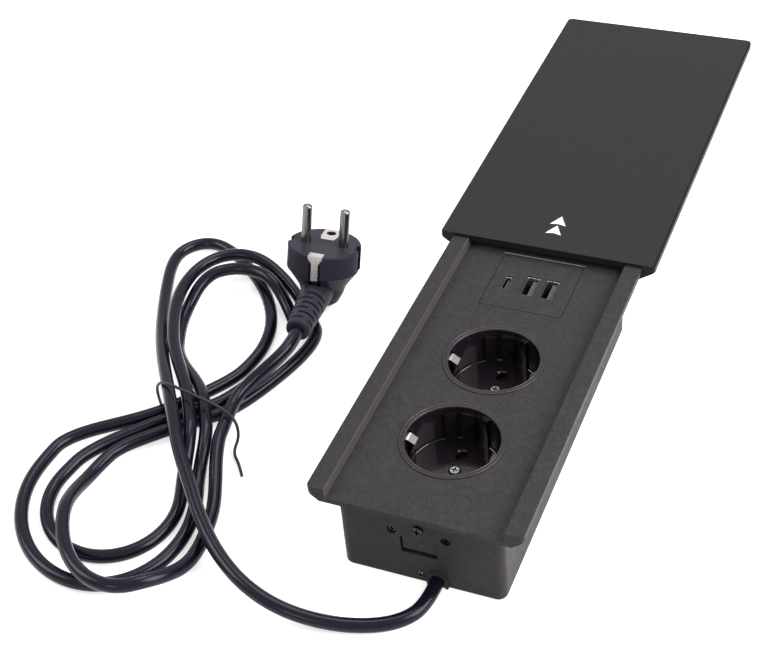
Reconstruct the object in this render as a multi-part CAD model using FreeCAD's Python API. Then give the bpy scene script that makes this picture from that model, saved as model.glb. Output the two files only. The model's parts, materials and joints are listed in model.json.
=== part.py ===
"""Recessed desk socket with a sliding cover, its mains cord and its plug.

All sizes are millimetres. X runs across the housing, +Y points at the open cover,
+Z is up. The origin is the middle of the housing's base, on the floor.
"""
import FreeCAD, Part
import math
import os

V = FreeCAD.Vector

# Clearances
FIT = 0.3
SNUG = 0.1

# Housing under the desk top
HOUSING_WIDTH = 70.8
HOUSING_LENGTH = 180.0
HOUSING_HEIGHT = 39.8
HOUSING_WALL = 2.0
HOUSING_FLOOR = 2.0
HOUSING_CORNER = 4.0
HOUSING_FOOT_ROUND = 1.2

# Frame on the desk top
FRAME_WIDTH = 91.5
FRAME_FRONT_LAP = 4.8
FRAME_REAR_LAP = 15.7
FRAME_CORNER = 2.3
PANEL_THICKNESS = 2.7
RAIL_WIDTH = 8.0
RAIL_RISE = 4.5
BEVEL_DROP = 3.1
BEVEL_RUN = 5.2
EDGE_ROUND = 0.4

# Sliding cover
COVER_OVERHANG = 6.25
COVER_LENGTH = 209.0
COVER_PLATE = 1.3
COVER_START = 78.3
COVER_SIDE_TOP = 0.8
COVER_SIDE_HEIGHT = 2.4
COVER_HOOK_REACH = 1.55
COVER_HOOK_FLAT = 0.6
COVER_HOOK_DROP = 5.0
COVER_FRONT_CORNER = 1.4
COVER_REAR_CORNER = 3.0
COVER_LIP = 1.6
COVER_LIP_DROP = 1.8
COVER_STOP = 1.7
COVER_STOP_DROP = 5.0
ARROW_LENGTH = 7.6
ARROW_WIDTH = 8.2
ARROW_NOTCH = 0.9
ARROW_DEPTH = 0.3
ARROW_STARTS = (11.6, 19.0)

# Socket wells, their middles along Y
WELL_CENTRES = {"front": -48.75, "rear": 3.6}
WELL_BORE = 40.0
WELL_WALL = 1.2
WELL_DEPTH = 17.5
WELL_FLOOR = 2.0
WELL_LIP_WIDTH = 2.35
WELL_LIP_RISE = 0.5
WELL_FLOOR_ROUND = 1.0
RIB_WIDTH = 5.2
RIB_REACH = 2.1
RIB_BELOW_LIP = 2.0
WELL_PAD_REACH = 1.1
WELL_PAD_ANGLES = (106.0, 121.0)
WELL_PAD_DROP = 3.2
WINDOW_PAD_ANGLES = (62.0, 83.0)
WINDOW_PAD_DROP = 2.3
WINDOW_ANGLES = (65.5, 79.5)
WINDOW_DROP = 4.9
WINDOW_SILL = 1.5
PIN_SPACING = 19.0
PIN_DIAMETER = 4.8
PIN_LENGTH = 19.0
PIN_HOLE = 5.6
PIN_COUNTERSINK = 0.6

# Earth clips
CLIP_THICKNESS = 0.8
CLIP_WIDTH = 4.4
CLIP_MOUTH = 16.4
CLIP_TOP_DROP = 3.2
CLIP_NOSE_DROP = 2.2
CLIP_FINGER_DROP = 8.8
CLIP_SLOT_SIDE = 0.7

# Shutters
SHUTTER_THICKNESS = 2.5
SHUTTER_TRAVEL = 5.8
SHUTTER_HALF_LENGTH = 13.0
SHUTTER_LEFT = 9.5
SHUTTER_RIGHT = 4.5
SHUTTER_HOLE = 5.8
SHUTTER_RAMP = 1.6
STOP_WIDTH = 1.5
STOP_LENGTH = 6.0
GUIDE_WIDTH = 1.2
SPRING_ROOM = 10.2
SPRING_DIAMETER = 2.2
SPRING_WIRE = 0.4
SPRING_TURNS = 6

# Contact carrier and its bars
CARRIER_DEPTH = 10.9
CARRIER_WIDTH = 41.0
CARRIER_FRONT = -66.0
CARRIER_REAR = 26.0
CONTACT_BORE = 5.2
CONTACT_WALL = 0.8
CONTACT_SLIT = 1.2
CONTACT_FOOT = 0.5
BAR_THICKNESS = 1.0
BAR_HEIGHT = 6.0
BAR_OFFSET = 8.0
BAR_RAISE = 3.0
BAR_REACH = 1.0
EARTH_BAR_WIDTH = 4.0
EARTH_BAR_X = 6.5

# Charging insert
USB_CENTRE_Y = 57.6
USB_FACE_WIDTH = 38.4
USB_FACE_LENGTH = 37.6
USB_FACE_CORNER = 1.5
USB_LEDGE = 1.5
USB_LEDGE_THICKNESS = 1.5
USB_A_X = (-0.7, 8.6)
USB_A_Y = 56.85
USB_A_LENGTH = 13.2
USB_A_WIDTH = 5.8
USB_C_X = -11.8
USB_C_Y = 56.5
USB_C_LENGTH = 9.0
USB_C_WIDTH = 3.3
USB_SHELL_WALL = 0.35
USB_SLOT_GAP = 0.3
USB_SHELL_SINK = 0.4
USB_A_TONGUE = (11.1, 1.9)
USB_C_TONGUE = (6.7, 0.8)
USB_TONGUE_SINK = 1.2
USB_BLOCK_HEIGHT = 5.0
USB_TONGUE_SHIFT = 1.0
BOARD_DROP = 15.9
BOARD_THICKNESS = 1.6
BOARD_WIDTH = 36.0
BOARD_LENGTH = 35.0
BOARD_POST_X = 15.2
BOARD_POST_Y = 14.6
BOARD_POST_RADIUS = 2.1
TRANSFORMER_SIZE = (16.0, 14.0, 11.5)
TRANSFORMER_AT = (-6.0, 62.0)
CAPACITOR_DIAMETER = 8.0
CAPACITOR_HEIGHT = 12.5
CAPACITORS_AT = ((9.5, 65.5), (9.5, 49.0))
CHIP_SIZE = (6.0, 5.0, 1.4)
CHIP_AT = (1.0, 47.5)

# Screws
FRAME_POST_X = 28.0
FRAME_POST_INSET = 8.0
FRAME_POST_RADIUS = 3.4
FRAME_BOSS_TOP = 12.0
FRAME_BOSS_RADIUS = 4.6
FRAME_SCREW_HEAD = 5.6
FRAME_SCREW_SHANK = 2.9
FRAME_SCREW_LENGTH = 15.0
FRAME_SCREW_SINK = 6.4
CARRIER_SCREW_X = 16.5
CARRIER_SCREW_INSET = 4.5
CARRIER_BOSS_RADIUS = 3.0
CARRIER_SCREW_HEAD = 5.0
CARRIER_SCREW_SHANK = 2.6
CARRIER_SCREW_TIP_GAP = 1.4
CARRIER_SCREW_SINK = 3.0
WELL_SCREW_HEAD = 5.0
WELL_SCREW_SHANK = 2.6
WELL_SCREW_SINK = 1.2
WELL_SCREW_LENGTH = 11.0
BOARD_SCREW_HEAD = 3.8
BOARD_SCREW_SHANK = 2.0
BOARD_SCREW_LENGTH = 7.0
SCREW_HEAD_HEIGHT = 1.6
CROSS_WIDTH = 0.7
CROSS_DEPTH = 1.0

# Front wall: screws, the snap catch and the cord outlet
SIDE_SCREWS = ((-12.0, 27.6), (11.2, 27.8))
SIDE_SCREW_HOLE = 4.2
SIDE_SCREW_HEAD = 3.6
MIDDLE_SCREW = (-0.4, 31.0)
MIDDLE_SCREW_HEAD = 4.5
WALL_SCREW_SHANK = 2.4
WALL_SCREW_LENGTH = 5.5
TONGUE_THICKNESS = 4.0
TONGUE_LEFT = -16.0
TONGUE_RIGHT = 15.2
TONGUE_WIDE_BOTTOM = 24.0
WINDOW_LEFT = -8.6
WINDOW_RIGHT = 7.2
WINDOW_BOTTOM = 16.0
WINDOW_TOP = 25.0
CATCH_SIDE_GAP = 0.8
CATCH_BOTTOM_GAP = 2.0
CATCH_RECESS = 0.4
OUTLET_X = 6.5
OUTLET_HOOD_WIDTH = 9.4
OUTLET_HOOD_HEIGHT = 8.6
OUTLET_HOOD_REACH = 0.8
OUTLET_NOTCH_DEPTH = 5.0
OUTLET_SCREW = (-0.8, 4.7)
OUTLET_SCREW_HEAD = 3.0
OUTLET_SCREW_SHANK = 1.9
OUTLET_SCREW_LENGTH = 3.8
GLAND_SINK = 0.4
GLAND_PLATE = 2.5
GLAND_PLATE_LEFT = -3.5
GLAND_PLATE_RIGHT = 12.5
GLAND_PLATE_TOP = 9.0
GLAND_STUB_RADIUS = 2.6
GLAND_STUB_RISE = 5.6
GLAND_STUB_LENGTH = 4.2
CLAMP_THICKNESS = 2.0
CLAMP_DEPTH = 3.0
CLAMP_SCREW_SPACING = 13.0
CLAMP_BOSS_RADIUS = 2.2
CLAMP_SCREW_LENGTH = 7.0

# Mains cord
CORD_DIAMETER = 6.2
WIRE_DIAMETER = 1.7
TIE_DIAMETER = 1.4

# Plug on the cord
PLUG_FACE_AT = (-110.3, 69.6, 34.9)
PLUG_LEAN = 15.0
PLUG_LEAN_TOWARD = 79.8
PLUG_SPIN = 8.0
PLUG_DIAMETER = 36.2
PLUG_RIM_DEPTH = 12.0
PLUG_DEPTH = 31.5
PLUG_WAIST_RADIUS = 11.8
PLUG_WAIST_DEPTH = 21.5
PLUG_BACK_RADIUS = 8.6
PLUG_FACE_ROUND = 0.8
PLUG_CONTACT_WIDTH = 7.2
PLUG_CONTACT_NECK = 3.4
PLUG_CONTACT_THICKNESS = 0.8
PLUG_CONTACT_SHOULDER = 1.2
PLUG_CONTACT_NARROW = 4.2
PLUG_CONTACT_DEPTH = 12.9
PLUG_CONTACT_TOE = (13.9, 17.2)
PLUG_CONTACT_REACH = 5.2
PLUG_CONTACT_SINK = 0.8
PLUG_CHANNEL_WIDTH = 6.0
PLUG_CHANNEL_SINK = 1.8
REAR_CONTACT_WIDTH = 8.4
REAR_CONTACT_START = 4.6
REAR_CONTACT_TAPER = 3.8
REAR_HOLE_AT = 12.4
REAR_HOLE = 4.8
REAR_HOLE_DEPTH = 12.0
PLUG_GROOVE_WIDTH = 5.4
PLUG_GROOVE_DEPTH = 2.2
PLUG_PIN_ROOT = 6.0
RELIEF_START = (0.0, -17.0, -23.4)
RELIEF_LENGTH = 26.0
RELIEF_DROP = 4.4
RELIEF_THICK = 15.0
RELIEF_THIN = 12.0
RELIEF_ROWS = 6
RELIEF_SLOT = 1.1
RELIEF_SLOT_DEPTH = 1.5
RELIEF_BRIDGES = 3
RELIEF_BRIDGE_WIDTH = 3.0
RELIEF_END_ROUND = 1.5
NECK_RADIUS = 8.4

# Places that follow from the sizes above
HALF_WIDTH = HOUSING_WIDTH / 2
HALF_LENGTH = HOUSING_LENGTH / 2
PANEL_TOP = HOUSING_HEIGHT + PANEL_THICKNESS
RAIL_TOP = PANEL_TOP + RAIL_RISE
FRAME_HALF = FRAME_WIDTH / 2
FRAME_FRONT = -HALF_LENGTH - FRAME_FRONT_LAP
FRAME_REAR = HALF_LENGTH + FRAME_REAR_LAP
RECESS_HALF = FRAME_HALF - RAIL_WIDTH
STOP_RAIL_FRONT = COVER_START + COVER_LIP + FIT
WELL_RADIUS = WELL_BORE / 2
WELL_OUTER = WELL_RADIUS + WELL_WALL
WELL_BOTTOM = PANEL_TOP - WELL_DEPTH
WELL_UNDERSIDE = WELL_BOTTOM - WELL_FLOOR
SHUTTER_TOP = WELL_UNDERSIDE - FIT
SHUTTER_BOTTOM = SHUTTER_TOP - SHUTTER_THICKNESS
CARRIER_TOP = SHUTTER_BOTTOM - FIT
CARRIER_BOTTOM = CARRIER_TOP - CARRIER_DEPTH
BAR_BOTTOM = CARRIER_BOTTOM + BAR_RAISE
FRAME_POST_Y = HALF_LENGTH - FRAME_POST_INSET
BOARD_TOP = PANEL_TOP - BOARD_DROP
PIN_REACH = PIN_SPACING / 2
FRONT_FACE = -HALF_LENGTH
FRONT_INSIDE = FRONT_FACE + HOUSING_WALL
BOARD_BOTTOM = BOARD_TOP - BOARD_THICKNESS
CORD_RADIUS = CORD_DIAMETER / 2
GLAND_FACE = FRONT_FACE - OUTLET_HOOD_REACH + GLAND_SINK
STUB_END = FRONT_INSIDE + FIT + GLAND_PLATE + GLAND_STUB_LENGTH


def box(x0, x1, y0, y1, z0, z1):
    """A box between two corners."""
    return Part.makeBox(x1 - x0, y1 - y0, z1 - z0, V(x0, y0, z0))


def rod(x, y, z0, z1, radius):
    """An upright cylinder."""
    return Part.makeCylinder(radius, z1 - z0, V(x, y, z0), V(0, 0, 1))


def rod_along_y(x, z, y0, y1, radius):
    """A cylinder that lies along Y."""
    return Part.makeCylinder(radius, y1 - y0, V(x, y0, z), V(0, 1, 0))


def outline(points):
    """A flat face inside a closed row of corners."""
    return Part.Face(Part.makePolygon([V(*p) for p in points] + [V(*points[0])]))


def rounded_plan(x0, x1, y0, y1, radius, z):
    """A flat face with round corners, seen from above."""
    corners = ((x1, y1, 0), (x0, y1, 90), (x0, y0, 180), (x1, y0, 270))
    edges = []
    last = None
    for x, y, start in corners:
        cx = x - radius if x == x1 else x + radius
        cy = y - radius if y == y1 else y + radius
        ring = [V(cx + radius * math.cos(math.radians(start + a)),
                  cy + radius * math.sin(math.radians(start + a)), z) for a in (0, 45, 90)]
        if last:
            edges.append(Part.makeLine(last, ring[0]))
        else:
            first = ring[0]
        edges.append(Part.Arc(*ring).toShape())
        last = ring[2]
    edges.append(Part.makeLine(last, first))
    return Part.Face(Part.Wire(edges))


def rounded_box(x0, x1, y0, y1, z0, z1, radius):
    """A box with its upright edges rounded."""
    return rounded_plan(x0, x1, y0, y1, radius, z0).extrude(V(0, 0, z1 - z0))


def along_y(points, y0, y1):
    """A section in X and Z, drawn out along Y."""
    return outline([(x, y0, z) for x, z in points]).extrude(V(0, y1 - y0, 0))


def turned(points, x=0.0, y=0.0):
    """A section of radius and height, turned about an upright axis."""
    solid = outline([(r, 0, z) for r, z in points]).revolve(V(0, 0, 0), V(0, 0, 1), 360)
    solid.translate(V(x, y, 0))
    return solid


def mirrored(points):
    """The right half of a section and its mirror image, as one closed row."""
    return points + [(-x, z) for x, z in reversed(points)]


def quarter(cx, cz, radius, start, steps=4):
    """Points of a quarter turn about a section's corner."""
    return [(cx + radius * math.cos(math.radians(start + 90 * i / steps)),
             cz + radius * math.sin(math.radians(start + 90 * i / steps))) for i in range(steps + 1)]


def strip(points, thickness, y0, y1):
    """A bent strip of sheet metal whose middle line runs through points in X and Z."""
    left = []
    right = []
    for i, (x, z) in enumerate(points):
        before = points[max(i - 1, 0)]
        after = points[min(i + 1, len(points) - 1)]
        turns = []
        for a, b in ((before, (x, z)), ((x, z), after)):
            run = math.hypot(b[0] - a[0], b[1] - a[1])
            if run > 0:
                turns.append(((a[1] - b[1]) / run, (b[0] - a[0]) / run))
        nx = sum(t[0] for t in turns) / len(turns)
        nz = sum(t[1] for t in turns) / len(turns)
        reach = thickness / 2 / (nx * nx + nz * nz)
        left.append((x + nx * reach, z + nz * reach))
        right.append((x - nx * reach, z - nz * reach))
    return along_y(left + right[::-1], y0, y1)


def cross_recess(radius, depth):
    """The cross cut in a screw's head, at the origin, pointing down."""
    arm = box(-radius, radius, -CROSS_WIDTH / 2, CROSS_WIDTH / 2, -depth, SNUG)
    other = box(-CROSS_WIDTH / 2, CROSS_WIDTH / 2, -radius, radius, -depth, SNUG)
    return arm.fuse(other)


def screw(head, shank, length, at, direction):
    """A pan head screw whose seat is at a point and whose shank runs along direction."""
    r = head / 2
    top = SCREW_HEAD_HEIGHT
    profile = [(0, -length), (shank / 2 - 0.3, -length), (shank / 2, 0.5 - length), (shank / 2, 0),
               (r, 0), (r, top * 0.6), (r * 0.8, top), (0, top)]
    solid = turned(profile)
    cut = cross_recess(r * 0.62, CROSS_DEPTH)
    cut.translate(V(0, 0, top))
    solid = solid.cut(cut)
    solid.Placement = FreeCAD.Placement(V(*at), FreeCAD.Rotation(V(0, 0, -1), V(*direction)))
    return solid


def group(solids):
    """Separate solids that share one node."""
    return Part.makeCompound(solids)


def fused(first, *others):
    """Several solids joined into one."""
    return first.fuse(list(others)).removeSplitter()


# Cord routes

def minus(a, b):
    return tuple(p - q for p, q in zip(a, b))


def plus(a, b, share=1.0):
    return tuple(p + share * q for p, q in zip(a, b))


def dot(a, b):
    return sum(p * q for p, q in zip(a, b))


def length_of(a):
    return math.sqrt(dot(a, a))


def unit(a):
    return tuple(p / length_of(a) for p in a)


def arc_edge(a, middle, b):
    return Part.Arc(V(*a), V(*middle), V(*b)).toShape()


def route_edges(points, name):
    """Straight runs joined by the largest tangent arcs that they allow."""
    edges = []
    radii = []
    start = points[0]
    for before, corner, after in zip(points, points[1:], points[2:]):
        into = unit(minus(corner, before))
        out = unit(minus(after, corner))
        turn = math.acos(max(-1.0, min(1.0, dot(into, out))))
        shorter = min(length_of(minus(corner, before)), length_of(minus(after, corner)))
        cut = 0.45 * shorter
        radius = cut / math.tan(turn / 2)
        a = plus(corner, into, -cut)
        b = plus(corner, out, cut)
        inward = unit(minus(out, into))
        middle = plus(corner, inward, radius / math.cos(turn / 2) - radius)
        edges.append(Part.makeLine(V(*start), V(*a)))
        edges.append(arc_edge(a, middle, b))
        radii.append(radius)
        start = b
    edges.append(Part.makeLine(V(*start), V(*points[-1])))
    print(name, "arc radii", ", ".join("%.0f" % r for r in radii), "least %.1f" % min(radii))
    return edges


def tube(edges, diameter, name):
    """A round tube along joined edges, checked against section times length."""
    wire = Part.Wire(edges)
    first = edges[0].valueAt(edges[0].FirstParameter)
    along = edges[0].tangentAt(edges[0].FirstParameter)
    ring = Part.Wire(Part.makeCircle(diameter / 2, first, along))
    sweep = Part.BRepOffsetAPI.MakePipeShell(wire)
    sweep.add(ring)
    sweep.build()
    sweep.makeSolid()
    solid = sweep.shape()
    expected = math.pi * diameter ** 2 / 4 * wire.Length
    print(name, "length %.1f" % wire.Length, "volume share %.4f" % (solid.Volume / expected))
    return solid


# The hank: loops on an ellipse of their own, drawn together at the waist.
# Each loop is its middle (x, y), half length, half width and tilt in degrees.
HANK_LOOPS = {
    "A": (-147.0, -92.5, 48.0, 38.5, 123.0),
    "F": (-143.0, 28.0, 39.5, 28.0, 121.0),
    "B": (-145.0, -91.5, 32.5, 29.5, 122.0),
    "E": (-136.0, 24.0, 58.5, 33.5, 124.5),
    "C": (-129.5, -96.0, 47.5, 31.0, 110.5),
}
# How far up each loop lies: angle on the ellipse, and 0 for the floor or 1 for a layer up.
HANK_CLIMBS = {
    "A": ((0, 0), (300, 0)),
    "B": ((0, 0), (300, 0)),
    "F": ((80, 0), (62, 0), (15, 1), (-45, 1), (-80, 0)),
    "E": ((80, 1), (-20, 1), (-75, 0)),
    "C": ((55, 0), (98, 1), (195, 1), (240, 0)),
}
HANK_STEP = CORD_DIAMETER + 0.8
HANK_LAYER = 1.35 * HANK_STEP
WAIST_UP = (-129.0, -39.0, 120.5)
WAIST_DOWN = (-139.0, -30.5, 221.5)
HANK_START = (-140.0, -30.0, 230.0)
HANK_END = (-115.5, -38.0, 100.0)
WAIST_UP_MIDDLE = 1.5
WAIST_DOWN_MIDDLE = -1.0
UPPER_ANGLES = (80, 40, 0, -40, -80)
LOWER_ANGLES = (45, 90, 135, 180, 220, 260)
# Lower loop, upper loop, slots of the waist on the way up and down, and layer on the way up.
HANK_ORDER = (("A", "F", 2, -1, 1.15 * HANK_STEP), ("B", "E", 1, -2, 1.05 * HANK_LAYER),
              ("C", "", WAIST_UP_MIDDLE, 0, HANK_STEP))
HANK_STEP_ANGLE = 0.5


def climb(angle, table, sense):
    """Height share at an angle, eased between the rows of a climb table."""
    rows = [(a * sense, level) for a, level in table]
    at = angle * sense
    if at <= rows[0][0]:
        return rows[0][1]
    for (a0, low), (a1, high) in zip(rows, rows[1:]):
        if at <= a1:
            return low + (high - low) * (1 - math.cos(math.pi * (at - a0) / (a1 - a0))) / 2
    return rows[-1][1]


def loop_point(name, angle, sense):
    """A point on one loop's ellipse."""
    cx, cy, long_half, short_half, tilt = HANK_LOOPS[name]
    a = math.radians(angle)
    t = math.radians(tilt)
    along = long_half * math.cos(a)
    across = short_half * math.sin(a)
    z = CORD_RADIUS + HANK_LAYER * climb(angle, HANK_CLIMBS[name], sense)
    return (cx + along * math.cos(t) - across * math.sin(t),
            cy + along * math.sin(t) + across * math.cos(t), z)


def loop_node(name, angle, sense):
    """A point on a loop and the direction in which the cord passes it."""
    ahead = loop_point(name, angle + HANK_STEP_ANGLE * sense, sense)
    behind = loop_point(name, angle - HANK_STEP_ANGLE * sense, sense)
    return loop_point(name, angle, sense), unit(minus(ahead, behind))


def waist_node(waist, slot, middle, z):
    """A point where the cord passes the waist, in one of its side by side slots."""
    x, y, heading = waist
    a = math.radians(heading)
    aside = (slot - middle) * HANK_STEP
    return (x + math.sin(a) * aside, y - math.cos(a) * aside, z), (math.cos(a), math.sin(a), 0.0)


def hank_nodes():
    nodes = [waist_node(HANK_START, 0, WAIST_DOWN_MIDDLE, CORD_RADIUS)]
    for lower, upper, slot_up, slot_down, rise in HANK_ORDER:
        nodes += [loop_node(lower, a, 1) for a in LOWER_ANGLES]
        waist = WAIST_UP if upper else HANK_END
        nodes.append(waist_node(waist, slot_up, WAIST_UP_MIDDLE, CORD_RADIUS + rise))
        if upper:
            nodes += [loop_node(upper, a, -1) for a in UPPER_ANGLES]
            nodes.append(waist_node(WAIST_DOWN, slot_down, WAIST_DOWN_MIDDLE, CORD_RADIUS))
    return nodes


def half_arc(a, heading, b):
    """Start, middle, end and radius of the arc that leaves a along heading and ends at b."""
    chord = minus(b, a)
    span = length_of(chord)
    ahead = unit(chord)
    share = dot(heading, ahead)
    side = plus(heading, ahead, -share)
    swing = math.atan2(length_of(side), share)
    middle = plus(plus(a, chord, 0.5), unit(side), span / 2 * math.tan(swing / 2))
    return a, middle, b, span / 2 / math.sin(swing)


def biarc(p0, t0, p1, t1):
    """Two tangent arcs from one node to the next."""
    chord = minus(p1, p0)
    k = 2 * (1 - dot(t0, t1))
    b = dot(chord, plus(t0, t1))
    reach = (math.sqrt(b * b + k * dot(chord, chord)) - b) / k
    joint = plus(plus(p0, t0, reach), minus(plus(p1, t1, -reach), plus(p0, t0, reach)), 0.5)
    first = half_arc(p0, t0, joint)
    a, middle, c, radius = half_arc(p1, tuple(-x for x in t1), joint)
    return [first, (c, middle, a, radius)]


def hank_edges():
    nodes = hank_nodes()
    arcs = []
    for (p0, t0), (p1, t1) in zip(nodes, nodes[1:]):
        arcs += biarc(p0, t0, p1, t1)
    print("hank arcs", len(arcs), "least radius %.1f" % min(a[3] for a in arcs))
    (first, first_way), (last, last_way) = nodes[0], nodes[-1]
    start = plus(first, first_way, -CORD_DIAMETER)
    end = plus(last, last_way, CORD_DIAMETER)
    edges = [Part.makeLine(V(*start), V(*first))]
    edges += [arc_edge(*a[:3]) for a in arcs]
    edges.append(Part.makeLine(V(*last), V(*end)))
    return edges, (start, first_way), (end, last_way)


def least_gap(edges, diameter, spacing=1.5):
    """Least clear distance of a tube to itself, measured between points along its middle."""
    points = []
    along = 0.0
    for edge in edges:
        count = max(2, int(edge.Length / spacing))
        for i in range(count):
            share = i / count
            at = edge.FirstParameter + share * (edge.LastParameter - edge.FirstParameter)
            points.append((edge.valueAt(at), along + share * edge.Length))
        along += edge.Length
    cells = {}
    for i, (p, s) in enumerate(points):
        cells.setdefault((int(p.x // 10), int(p.y // 10)), []).append(i)
    least = 1e9
    for i, (p, s) in enumerate(points):
        cx, cy = int(p.x // 10), int(p.y // 10)
        for j in [j for ix in (-1, 0, 1) for iy in (-1, 0, 1) for j in cells.get((cx + ix, cy + iy), [])]:
            q, t = points[j]
            if t - s > 4 * diameter:
                least = min(least, p.distanceToPoint(q))
    return least - diameter


# Housing

def make_housing():
    body = rounded_box(-HALF_WIDTH, HALF_WIDTH, -HALF_LENGTH, HALF_LENGTH, 0, HOUSING_HEIGHT, HOUSING_CORNER)
    foot = [e for e in body.Edges if e.BoundBox.ZMax < 0.01]
    body = body.makeFillet(HOUSING_FOOT_ROUND, foot)
    w = HOUSING_WALL
    room = rounded_box(-HALF_WIDTH + w, HALF_WIDTH - w, -HALF_LENGTH + w, HALF_LENGTH - w,
                       HOUSING_FLOOR, HOUSING_HEIGHT + 1, HOUSING_CORNER - w)
    body = body.cut(room)
    half_hood = OUTLET_HOOD_WIDTH / 2
    hood = box(OUTLET_X - half_hood, OUTLET_X + half_hood, FRONT_FACE - OUTLET_HOOD_REACH,
               FRONT_FACE + w / 2, 0, OUTLET_HOOD_HEIGHT - half_hood)
    arch = rod_along_y(OUTLET_X, OUTLET_HOOD_HEIGHT - half_hood, FRONT_FACE - OUTLET_HOOD_REACH,
                       FRONT_FACE + w / 2, half_hood)
    bosses = [rod(x, y, HOUSING_FLOOR - 1, FRAME_BOSS_TOP, FRAME_BOSS_RADIUS) for x, y in frame_post_places()]
    bosses += [rod(x, y, HOUSING_FLOOR - 1, CARRIER_BOTTOM, CARRIER_BOSS_RADIUS)
               for x, y in carrier_screw_places()]
    bosses += [rod(x, clamp_y(), HOUSING_FLOOR - 1, clamp_bottom(), CLAMP_BOSS_RADIUS)
               for x in clamp_screw_places()]
    body = fused(body, hood, arch, *bosses)
    inner = OUTLET_X - cord_notch(), OUTLET_X + cord_notch()
    front = FRONT_FACE - OUTLET_HOOD_REACH - 1
    cuts = [box(inner[0], inner[1], front, FRONT_FACE + OUTLET_NOTCH_DEPTH, -1, CORD_RADIUS),
            rod_along_y(OUTLET_X, CORD_RADIUS, front, FRONT_FACE + OUTLET_NOTCH_DEPTH, cord_notch())]
    for x, y in frame_post_places():
        cuts.append(rod(x, y, -1, frame_screw_seat(), FRAME_SCREW_HEAD / 2 + FIT))
        cuts.append(rod(x, y, 0, FRAME_BOSS_TOP + 1, FRAME_SCREW_SHANK / 2 + SNUG))
    for x, y in carrier_screw_places():
        cuts.append(rod(x, y, HOUSING_FLOOR, CARRIER_BOTTOM + 1, CARRIER_SCREW_SHANK / 2 + SNUG))
    for x in clamp_screw_places():
        cuts.append(rod(x, clamp_y(), HOUSING_FLOOR, clamp_bottom() + 1, OUTLET_SCREW_SHANK / 2 + SNUG))
    through = FRONT_INSIDE + 1
    for x, z in SIDE_SCREWS:
        cuts.append(rod_along_y(x, z, FRONT_FACE - 1, through, SIDE_SCREW_HOLE / 2))
    x, z = MIDDLE_SCREW
    cuts.append(rod_along_y(x, z, FRONT_FACE - 1, through, WALL_SCREW_SHANK / 2 + SNUG))
    x, z = OUTLET_SCREW
    cuts.append(rod_along_y(x, z, FRONT_FACE - 1, through, OUTLET_SCREW_SHANK / 2 + SNUG))
    cuts.append(rod_along_y(x, z, FRONT_FACE - 1, outlet_screw_seat(), OUTLET_SCREW_HEAD / 2 + SNUG))
    cuts.append(box(WINDOW_LEFT, WINDOW_RIGHT, FRONT_FACE - 1, through, WINDOW_BOTTOM, WINDOW_TOP))
    return body.cut(cuts)


def cord_notch():
    return CORD_RADIUS + FIT + SNUG


def frame_post_places():
    return [(x, y) for x in (-FRAME_POST_X, FRAME_POST_X) for y in (-FRAME_POST_Y, FRAME_POST_Y)]


def frame_screw_seat():
    return FRAME_SCREW_SINK + SCREW_HEAD_HEIGHT


def carrier_screw_places():
    ends = (CARRIER_FRONT + CARRIER_SCREW_INSET, CARRIER_REAR - CARRIER_SCREW_INSET)
    return [(x, y) for x in (-CARRIER_SCREW_X, CARRIER_SCREW_X) for y in ends]


def clamp_y():
    return STUB_END - CLAMP_DEPTH / 2 - FIT


def clamp_bottom():
    return GLAND_STUB_RISE + GLAND_STUB_RADIUS


def clamp_screw_places():
    return (OUTLET_X - CLAMP_SCREW_SPACING / 2, OUTLET_X + CLAMP_SCREW_SPACING / 2)


def outlet_screw_seat():
    return FRONT_FACE + HOUSING_WALL / 2


# Frame

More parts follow.
